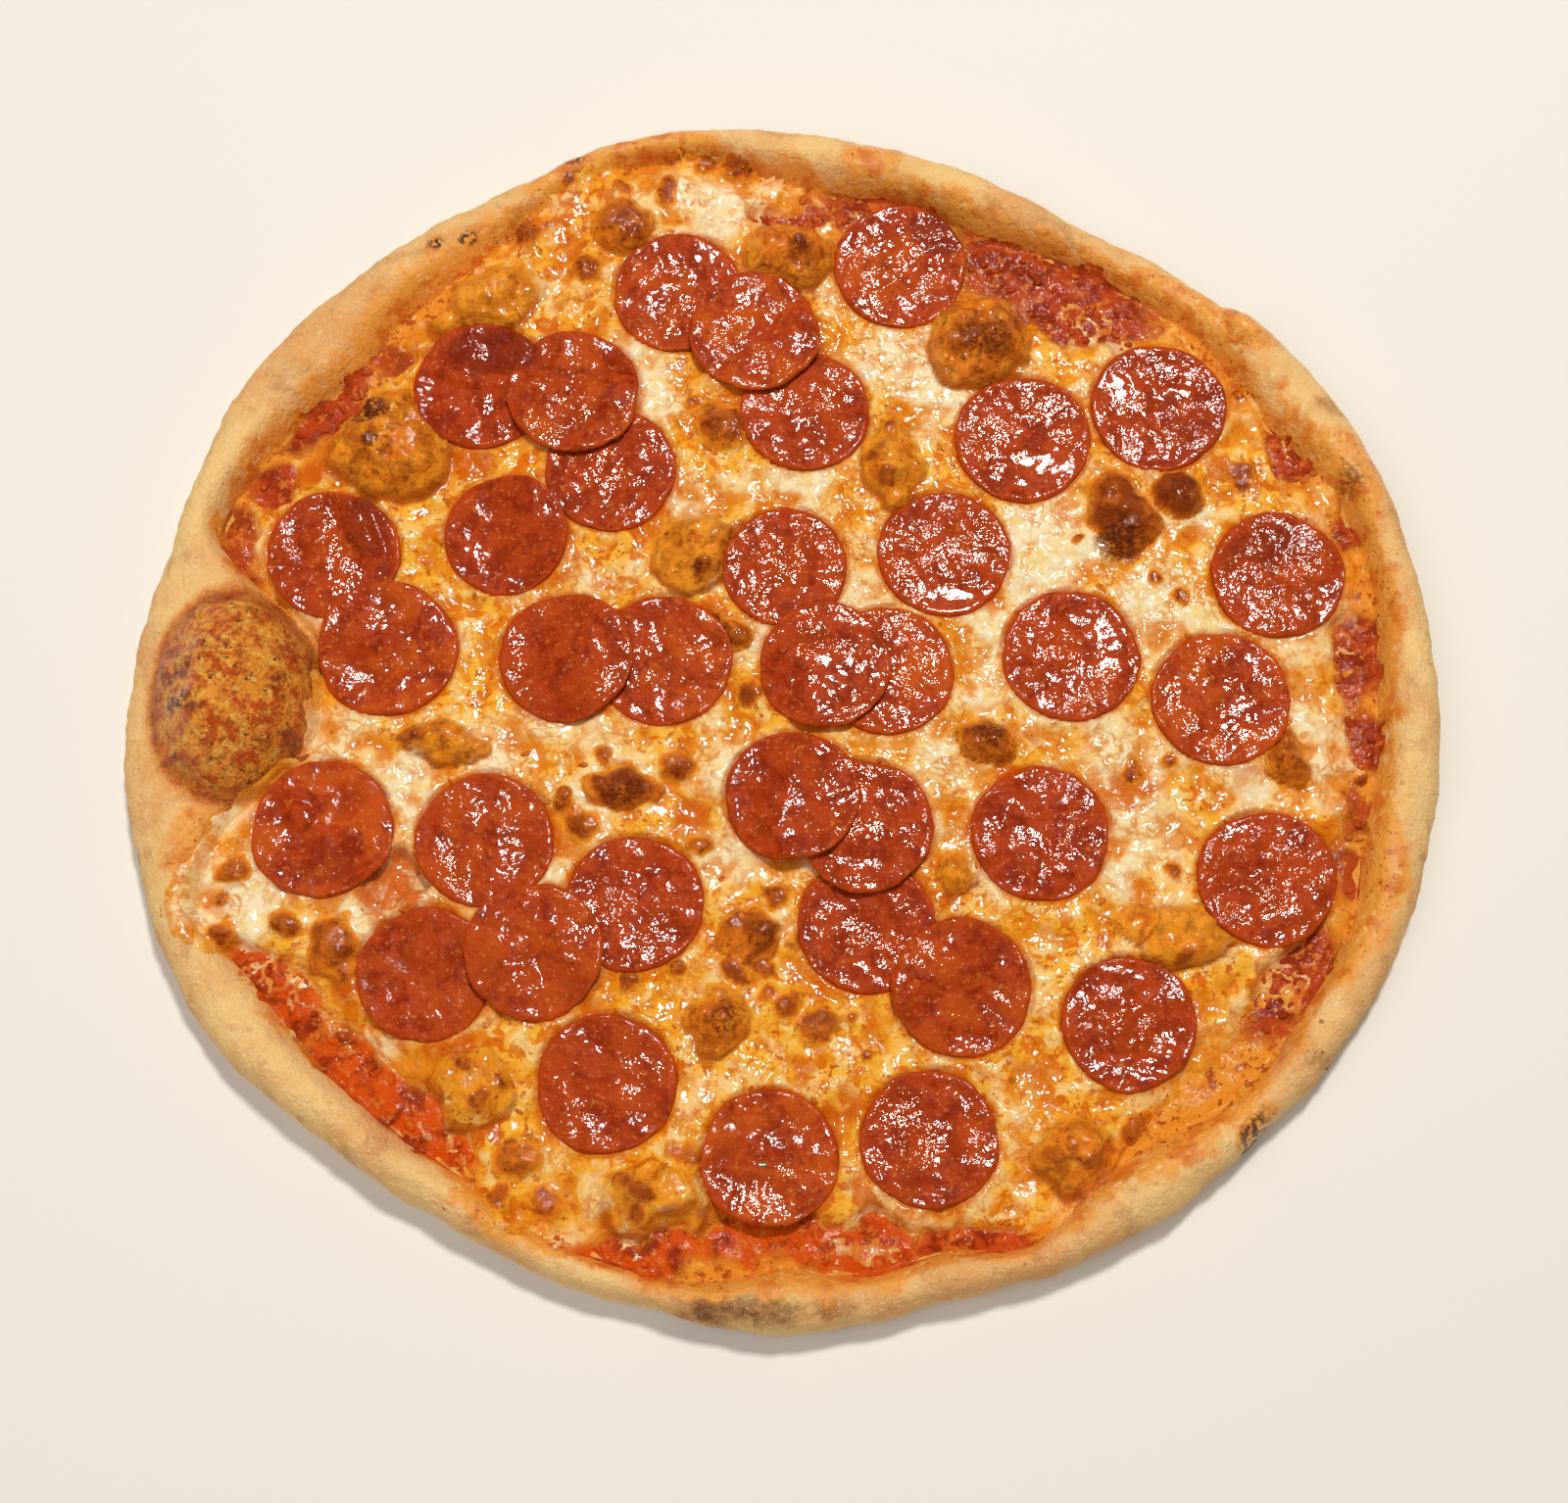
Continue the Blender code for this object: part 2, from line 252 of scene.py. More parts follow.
def edgeAt(edge, angle):
    # The radius of an outline at any angle, on a smooth closed curve
    place = (angle / turn % 1.0) * len(edge)
    k = np.floor(place).astype(int)
    t = place - k
    a, b, c, d = (edge[(k + n) % len(edge)] for n in (-1, 0, 1, 2))
    return b + 0.5 * t * (c - a + t * (2 * a - 5 * b + 4 * c - d + t * (3 * (b - c) + d - a)))


def runsAt(angle, runs):
    # How far things reach at an angle, from soft tongues (angle in degrees, spread, how far)
    total = np.zeros_like(angle)
    for way, spread, far in runs:
        apart = np.degrees((angle - math.radians(way) + turn / 2) % turn - turn / 2)
        total = total + far * np.exp(-(apart / spread) ** 2)
    return total


def strip(first, sectors):
    # Faces between a closed ring of points and the ring that follows it
    a = np.arange(sectors) + first
    b = np.roll(a, -1)
    return np.stack([a, a + sectors, b + sectors, b], 1)


def makeMesh(name, points, faces, marks):
    # A smooth-shaded mesh from points in mm, with one number for each point under each mark's name
    mesh = bpy.data.meshes.new(name)
    mesh.vertices.add(len(points))
    mesh.vertices.foreach_set("co", (np.asarray(points, np.float64) * mm).astype(np.float32).ravel())
    counts = np.array([len(face) for face in faces])
    mesh.loops.add(int(counts.sum()))
    corners = np.concatenate([np.asarray(face) for face in faces])
    mesh.loops.foreach_set("vertex_index", corners.astype(np.int32))
    mesh.polygons.add(len(faces))
    mesh.polygons.foreach_set("loop_start", (np.cumsum(counts) - counts).astype(np.int32))
    mesh.update(calc_edges=True)
    for mark, values in marks.items():
        layer = mesh.attributes.new(mark, "FLOAT", "POINT")
        layer.data.foreach_set("value", np.asarray(values, np.float32))
    mesh.shade_smooth()
    mesh.validate()
    obj = bpy.data.objects.new(name, mesh)
    bpy.context.scene.collection.objects.link(obj)
    return obj


def finishPiece(obj, material, slotName, *nodes):
    obj.data.materials.append(material)
    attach(obj, "root")
    if nodes:
        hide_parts(*nodes)


outlines = {node: outlineOf(node) for node in ("crust", "tomato_sauce", "cheese")}


# The dough's form, which the layers above follow

dough = {
    "floor": 5.0,  # thickness under the topping
    "slopeTop": 7.0,  # height where the sauce ends
    "flatInset": 11,  # how far inside the cheese's edge the floor starts to rise
    "rimHeight": 15.5,
    "rimLow": 10.5,  # height of a rim of no width
    "rimShare": 0.35,  # height that each mm of width adds
    "rimWave": 0.78,
    "belly": 0.42,  # where the rim is widest, as a share of its height
    "bubbleSunk": 0.35,  # how much a raised place takes off a bubble on it
    "footInset": 7.0,
    "steep": 2.6,  # how soon the rim rises from the sauce
    "bubbles": [
        (-136, -4, 21, 28, 0, 17), (120, 97, 7, 9, 40, 5.5), (112, -112, 6, 8, -25, 2.5),
        (23, 146, 8, 7, 0, 2), (-58, 141, 12, 7, 20, 3), (142, 55, 10, 12, 20, 2.5),
        (-11, -151, 13, 5, 0, 2), (-126, 82, 9, 8, 40, 2.5)],
    "sectors": 880,
    "ringCounts": (5, 22, 20, 9),  # under the topping, up to the crown, over it and down to the foot
    "puffs": [(14, 0.8, 3)],  # size across, height, seed
    "fine": (3.4, 0.3),
    "blownRough": (7, 1.0),
    "blownCrackle": (4, 0.9),
}


def rimCrown(angle):
    width = edgeAt(outlines["crust"], angle) - edgeAt(outlines["tomato_sauce"], angle)
    wave = dough["rimWave"] * (np.sin(5 * angle + 0.5) + 0.6 * np.sin(11 * angle + 2.0))
    return np.minimum(dough["rimHeight"], dough["rimLow"] + dough["rimShare"] * width) + wave


def rimParts(x, y):
    # How far a place is from the sauce's edge to the dough's (0 to 1), the crown's height, radius and angle
    angle, r = np.arctan2(y, x), np.hypot(x, y)
    start, end = edgeAt(outlines["tomato_sauce"], angle), edgeAt(outlines["crust"], angle)
    return (r - start) / (end - start), rimCrown(angle), r, angle


def bubbleHeight(x, y, z):
    return np.maximum(0, domes(x, y, dough["bubbles"]) - dough["bubbleSunk"] * (z - dough["slopeTop"]))


def blownAt(x, y):
    # 1 on the big blown bubble
    return spots(x, y, [dough["bubbles"][0][:5] + (1,)], 0.3)


def doughHeight(x, y):
    # The dough's upper face from the middle to the crown of the rim
    share, crown, r, angle = rimParts(x, y)
    flat = edgeAt(outlines["cheese"], angle) - dough["flatInset"]
    start = edgeAt(outlines["tomato_sauce"], angle)
    rise = np.clip((r - flat) / np.maximum(start - flat, 1), 0, 1)
    low = dough["floor"] + (dough["slopeTop"] - dough["floor"]) * rise ** 2
    climb = 1 - np.clip(1 - 2 * np.clip(share, 0, 0.5), 0, 1) ** dough["steep"]
    z = low + (crown - dough["slopeTop"]) * climb
    return z + bubbleHeight(x, y, z)


def doughPuffs(x, y, z):
    # How far the baked skin stands out from the dough's smooth form
    share = rimParts(x, y)[0]
    u, v = x + 0.7 * z, y - 0.6 * z
    size, height = dough["fine"]
    push = waves(u, v, dough["puffs"]) + height * roughRelief(u, v, size, 7)
    size, height = dough["blownRough"]
    crackle = height * roughRelief(u, v, size, 21)
    size, height = dough["blownCrackle"]
    crackle = crackle + height * np.abs(relief(u, v, size, 25)) + 0.1
    return (push + blownAt(x, y) * crackle) * smooth(-0.2, 0.3, share) * smooth(0, 3, z)


# Where the slices lie, taken from the frame

salami = {
    "count": 36,
    "grown": 1.012,  # the wavy edge takes as much off again
    "thick": 1.3,
    "bed": 9.7,  # height of the cheese under it
    "bedRise": (0.9, 110, 140),  # how much higher it is near the rim, and from which radius to which
    "cup": 0.5,  # how much its edge stands up
    "clear": 0.5,  # between one slice and the next on it
    "hang": (2.5, 18.5),  # over which distance from a slice below it comes down again
    "ragged": 0.02,
    "lumps": [(11, 0.6, 300), (5, 0.28, 340), (2.4, 0.16, 380)],  # size across, height, seed
    "shoulder": 0.07,  # how much of the radius is rounded down
    "lifted": {2: 1, 4: 1, 6: 1, 10: 1, 15: 1, 17: 1, 18: 2, 19: 1, 23: 1, 26: 1},  # those that lie on others
    "sectors": 120,
    "rings": 26,
}


def readSlices():
    found = []
    for k in range(1, salami["count"] + 1):
        low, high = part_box(f"salami_{k:02d}")
        radius = (high.x - low.x + high.y - low.y) / 4 * salami["grown"] / mm
        level = salami["lifted"].get(k, 0)
        found.append(((low.x + high.x) / 2 / mm, (low.y + high.y) / 2 / mm, radius, level))
    return found


slices = readSlices()


def swell(x, y):
    # The slow rise and fall of the topping
    wave = 0.7 * np.sin(x / 38 + 0.6) * np.cos(y / 31 - 0.4) + 0.45 * np.sin((x + y) / 27 + 1.0)
    return wave * (1 - smooth(100, 130, np.hypot(x, y)))


def sliceUnderside(k, x, y):
    cx, cy, radius, level = slices[k]
    rise, start, end = salami["bedRise"]
    base = salami["bed"] + swell(x, y) + rise * smooth(start, end, np.hypot(x, y))
    lift = np.zeros_like(x)
    for j, (ox, oy, other, otherLevel) in enumerate(slices):
        if otherLevel >= level or math.hypot(cx - ox, cy - oy) > radius + other:
            continue
        held = 1 - smooth(*salami["hang"], np.hypot(x - ox, y - oy) - other)
        lift = np.maximum(lift, held * (sliceUnderside(j, x, y) + salami["thick"] + salami["clear"] - base))
    out = np.hypot(x - cx, y - cy) / radius
    return base + lift + salami["cup"] * np.minimum(out, 1.2) ** 2


def underSlices(x, y):
    # The lowest underside of a slice over each point, far up where there is none, and how far off it is
    lowest, away = np.full_like(x, 99.0), np.full_like(x, 99.0)
    for k, (cx, cy, radius, _) in enumerate(slices):
        gap = np.hypot(x - cx, y - cy) - radius
        near = np.flatnonzero(gap < 12)
        away[near] = np.minimum(away[near], gap[near])
        under = near[gap[near] < 0.2]
        side = 0.75 * salami["thick"] * smooth(-1.3, 0.2, gap[under])  # cheese meets its side half way up
        lowest[under] = np.minimum(lowest[under], sliceUnderside(k, x[under], y[under]) + side)
    return lowest, away


# Crust

def crustRings():
    # Rings from under the topping over the rim to the underside: x, y, height and how far each leans out
    angle = np.arange(dough["sectors"]) * turn / dough["sectors"]
    start, end = edgeAt(outlines["tomato_sauce"], angle), edgeAt(outlines["crust"], angle)
    crown, middle = rimCrown(angle), (start + end) / 2
    rings = []
    inner, upper, outer, foot = dough["ringCounts"]
    for share in np.concatenate([np.linspace(-0.9, 0, inner)[:-1], np.linspace(0, 1, upper) ** 1.3 * 0.5]):
        r = start + (end - start) * share
        x, y = r * np.cos(angle), r * np.sin(angle)
        rings.append((x, y, doughHeight(x, y), np.zeros_like(x)))
    low = dough["belly"] * crown
    for lean in np.linspace(0, turn / 4, outer)[1:]:
        r = middle + (end - middle) * math.sin(lean)
        x, y = r * np.cos(angle), r * np.sin(angle)
        z = low + (crown - low) * math.cos(lean)
        z = z + bubbleHeight(x, y, z) * math.cos(lean)
        rings.append((x, y, z, np.full_like(x, math.sin(lean))))
    for lean in np.linspace(0, turn / 4, foot)[1:]:
        r = end - dough["footInset"] * (1 - math.cos(lean))
        z = low * (1 - math.sin(lean))
        rings.append((r * np.cos(angle), r * np.sin(angle), z, np.full_like(angle, math.cos(lean))))
    return rings


crustMarks = {  # x, y, half sizes, turn, strength
    "filmReach": 0.2,  # how far up and over the rim the orange film goes
    "filmRuns": [  # angle, spread, further reach
        (45, 8, 0.75), (103, 6, 0.8), (340, 8, 0.6), (243, 5, 0.6), (125, 18, 0.35), (70, 14, 0.2),
        (268, 20, 0.3), (310, 9, 0.4), (20, 10, 0.3), (5, 9, 0.2), (197, 7, 0.4), (150, 8, 0.1),
        (225, 14, -0.2)],
    "char": [
        (-55.5, 146, 3, 2.2, 20, 1), (-83, 121.5, 2.6, 1.8, 20, 1), (-91, 119.5, 2.2, 1.6, 0, 1),
        (94, -103.5, 2.5, 1.8, 0, 0.9), (100, -104.5, 2, 1.6, 0, 0.8), (108.5, -111.5, 1.8, 4, -20, 0.9),
        (143.5, 53.5, 3, 4.5, 0, 0.55), (-147, -8.5, 3.5, 3, 0, 1), (-104, 121, 4, 2, 30, 0.8),
        (-8, -152, 14, 3, 0, 0.4), (110.5, -112, 3, 6, -20, 0.9), (-150, -3, 1.4, 1.4, 0, 0.8)],
    "toast": [
        (-10.5, -151, 15, 6, 0, 0.8), (11.5, -150.5, 7, 5, 0, 0.7), (25.5, 145, 8, 6, 0, 0.5),
        (-125.5, 81.5, 8, 7, 0, 0.55), (-102.5, 107, 9, 5, 35, 0.4), (54, 128, 6, 4, -20, 0.5),
        (70, 126, 8, 5, -30, 0.5), (138.5, 72.5, 5, 5, 0, 0.5), (120.5, -90.5, 7, 6, -40, 0.6),
        (70, -134, 22, 5, -22, 0.3), (-88, 118, 14, 5, 35, 0.4), (-146, -68, 8, 16, 20, 0.15),
        (-150, 30, 6, 30, -8, 0.12), (152, 0, 5, 22, 0, 0.3), (130, -92, 6, 12, -40, 0.35)],
}


def makeCrust():
    rings = crustRings()
    count = dough["sectors"]
    x, y, z, out = (np.concatenate([ring[n] for ring in rings]) for n in range(4))
    share, _, _, a = rimParts(x, y)
    u, v = x + 0.7 * z, y - 0.6 * z
    push = doughPuffs(x, y, z)
    big = blownAt(x, y)
    reach = crustMarks["filmReach"] + runsAt(a, crustMarks["filmRuns"])
    x = x + push * out * np.cos(a)
    y = y + push * out * np.sin(a)
    z = z + push * np.sqrt(1 - out ** 2)
    blurX, blurY = x + 1.6 * relief(u, v, 5, 31), y + 1.6 * relief(u, v, 5, 32)
    marks = {
        "char": spots(x, y, crustMarks["char"], 0.9),
        "toast": spots(blurX, blurY, crustMarks["toast"], 0.8),
        "film": np.maximum(smooth(reach + 0.14, reach - 0.3, share + 0.2 * roughRelief(u, v, 8, 41)),
                           spots(x, y, [b[:5] + (1,) for b in dough["bubbles"][:6]], 0.4))
        * smooth(1.0, 0.7, out),
        "bubble": big,
        "foot": big * smooth(0.5, 0.05, inside(x, y, dough["bubbles"][0]) + 0.25 * relief(u, v, 9, 47)),
        "under": smooth(0.5, -0.5, z - 1.5),
        "crumbs": smooth(3, 6, z) * smooth(-0.1, 0.1, share) * smooth(0.2, 0.7, relief(u, v, 18, 45)),
    }
    points = np.stack([x, y, z], axis=1)
    faces = []
    for n in range(len(rings) - 1):
        faces.extend(strip(n * count, count))
    faces.append(np.arange(count))
    faces.append((np.arange(count) + (len(rings) - 1) * count)[::-1])
    return makeMesh("bakedCrust", points, faces, marks)


# Sauce

sauce = {
    "thick": 1.25,
    "reach": 0.8,  # how far it is smeared up the rim
    "ragged": 1.8,
    "lumps": (2.8, 0.4),  # size across, height
    "mounds": (7, 0.4),
    "uneven": [(15, 5, 112), (5, 2, 113)],
    "sectors": 860,
    "steps": 30,
    "under": 12,  # how far it goes in under the cheese
    "spill": 5,  # how far out its mesh goes, most of it inside the dough
    "sunk": 0.5,  # how far its edge is under the dough's face
    "depth": (0.4, 1.2),  # its underside, below its own face and below the dough's
    "pools": [  # where no cheese covers it: x, y, half sizes, turn, strength
        (2, 132, 10, 5, 0, 1), (29, 132, 19, 7, -6, 1), (72, 110, 30, 13, -27, 1),
        (132.5, 65, 8, 11, 35, 1), (145.5, 43.5, 5, 6, 0, 1), (143.5, 7.5, 8, 12, 0, 1),
        (146, -12.5, 5.5, 7.5, 0, 1), (139, -32.5, 4, 7, 0, 0.9), (137.5, -48.5, 4.5, 9, 0, 0.9),
        (124, -74, 9, 16, -40, 1), (-36, -139, 18, 6, 10, 1), (-2.5, -134, 18, 7, 0, 1),
        (19, -138, 14, 8, 0, 1), (44.5, -136, 17, 5, 5, 1), (-94, -104, 28, 9, -41, 1),
        (-122, -76, 8, 15, 40, 1), (-139, 37, 5.5, 11, 10, 0.9), (-129.5, 54.5, 6, 8, -35, 1),
        (-117, 75, 6, 12, -40, 1), (-101.5, 89, 5, 8, -45, 0.9), (-95.5, -50.5, 8, 7, 0, 1)],
    "nets": [  # strings of cheese over it
        (80, 101, 9, 6, -25, 1), (120, -76, 9, 7, -40, 1), (18, -139, 10, 5, 0, 1),
        (58, 120, 8, 4, -20, 0.7), (133, 66, 6, 7, 30, 0.7), (-96, -50, 6, 5, 0, 0.7),
        (143, 6, 6, 9, 0, 0.6), (-124, -78, 9, 10, 40, 1), (-100, -100, 12, 6, -41, 0.6),
        (-40, -139, 10, 5, 10, 0.5), (30, 131, 12, 5, 0, 0.6), (-110, -90, 14, 8, -41, 0.8),
        (-78, -117, 14, 5, -41, 0.7)],
}


def poolAt(x, y):
    # 1 where the sauce lies bare, with an uneven edge
    return spots(*bent(x, y, sauce["uneven"]), sauce["pools"], 0.45)


def sauceEdge(x, y):
    # Distance inside the sauce's ragged edge
    angle, r = np.arctan2(y, x), np.hypot(x, y)
    rag = sauce["ragged"] * roughRelief(x, y, 9, 51)
    return edgeAt(outlines["tomato_sauce"], angle) + sauce["reach"] + rag - r


def sauceHeight(x, y):
    edge = sauceEdge(x, y)
    film = (sauce["thick"] + sauce["sunk"]) * smooth(-1.5, 4.5, edge) - sauce["sunk"]
    (fine, low), (wide, high) = sauce["lumps"], sauce["mounds"]
    lumps = low * roughRelief(x, y, fine, 55) + high * relief(x, y, wide, 58)
    bare = doughHeight(x, y)
    return bare + doughPuffs(x, y, bare) + film + lumps * smooth(-1, 3, edge)


def makeSauce():
    sectors, steps = sauce["sectors"], sauce["steps"]
    angle = np.arange(sectors) * turn / sectors
    inner = edgeAt(outlines["cheese"], angle) - sauce["under"]
    middle = (edgeAt(outlines["tomato_sauce"], angle) + edgeAt(outlines["crust"], angle)) / 2
    outer = np.minimum(edgeAt(outlines["tomato_sauce"], angle) + sauce["spill"], middle)
    x, y = [], []
    for step in np.linspace(0, 1, steps):
        r = inner + (outer - inner) * step
        x.append(r * np.cos(angle))
        y.append(r * np.sin(angle))
    x, y = np.concatenate(x), np.concatenate(y)
    top = sauceHeight(x, y)
    own, doughs = sauce["depth"]
    low = np.minimum(top - own, doughHeight(x, y) - doughs)
    points = np.concatenate([np.stack([x, y, top], 1), np.stack([x, y, low], 1)])
    around = np.arange(sectors)
    ahead = np.roll(around, -1)
    lower = sectors * steps
    faces = []
    for n in range(steps - 1):
        faces.extend(strip(n * sectors, sectors))
        faces.extend(strip(n * sectors + lower, sectors)[:, ::-1])
    last = sectors * (steps - 1)
    faces.extend(np.stack([around + last, around + last + lower, ahead + last + lower, ahead + last], 1))
    faces.extend(np.stack([ahead, ahead + lower, around + lower, around], 1))
    pool = poolAt(x, y)
    tone = smooth(40, -110, y) * smooth(110, -10, x)
    marks = {"orange": np.tile(tone, 2), "film": np.tile(1 - pool, 2),
             "pulp": np.concatenate([pool * smooth(1.5, 4, sauceEdge(x, y)), np.zeros_like(x)])}
    return makeMesh("tomatoSauce", points, faces, marks)


# Cheese

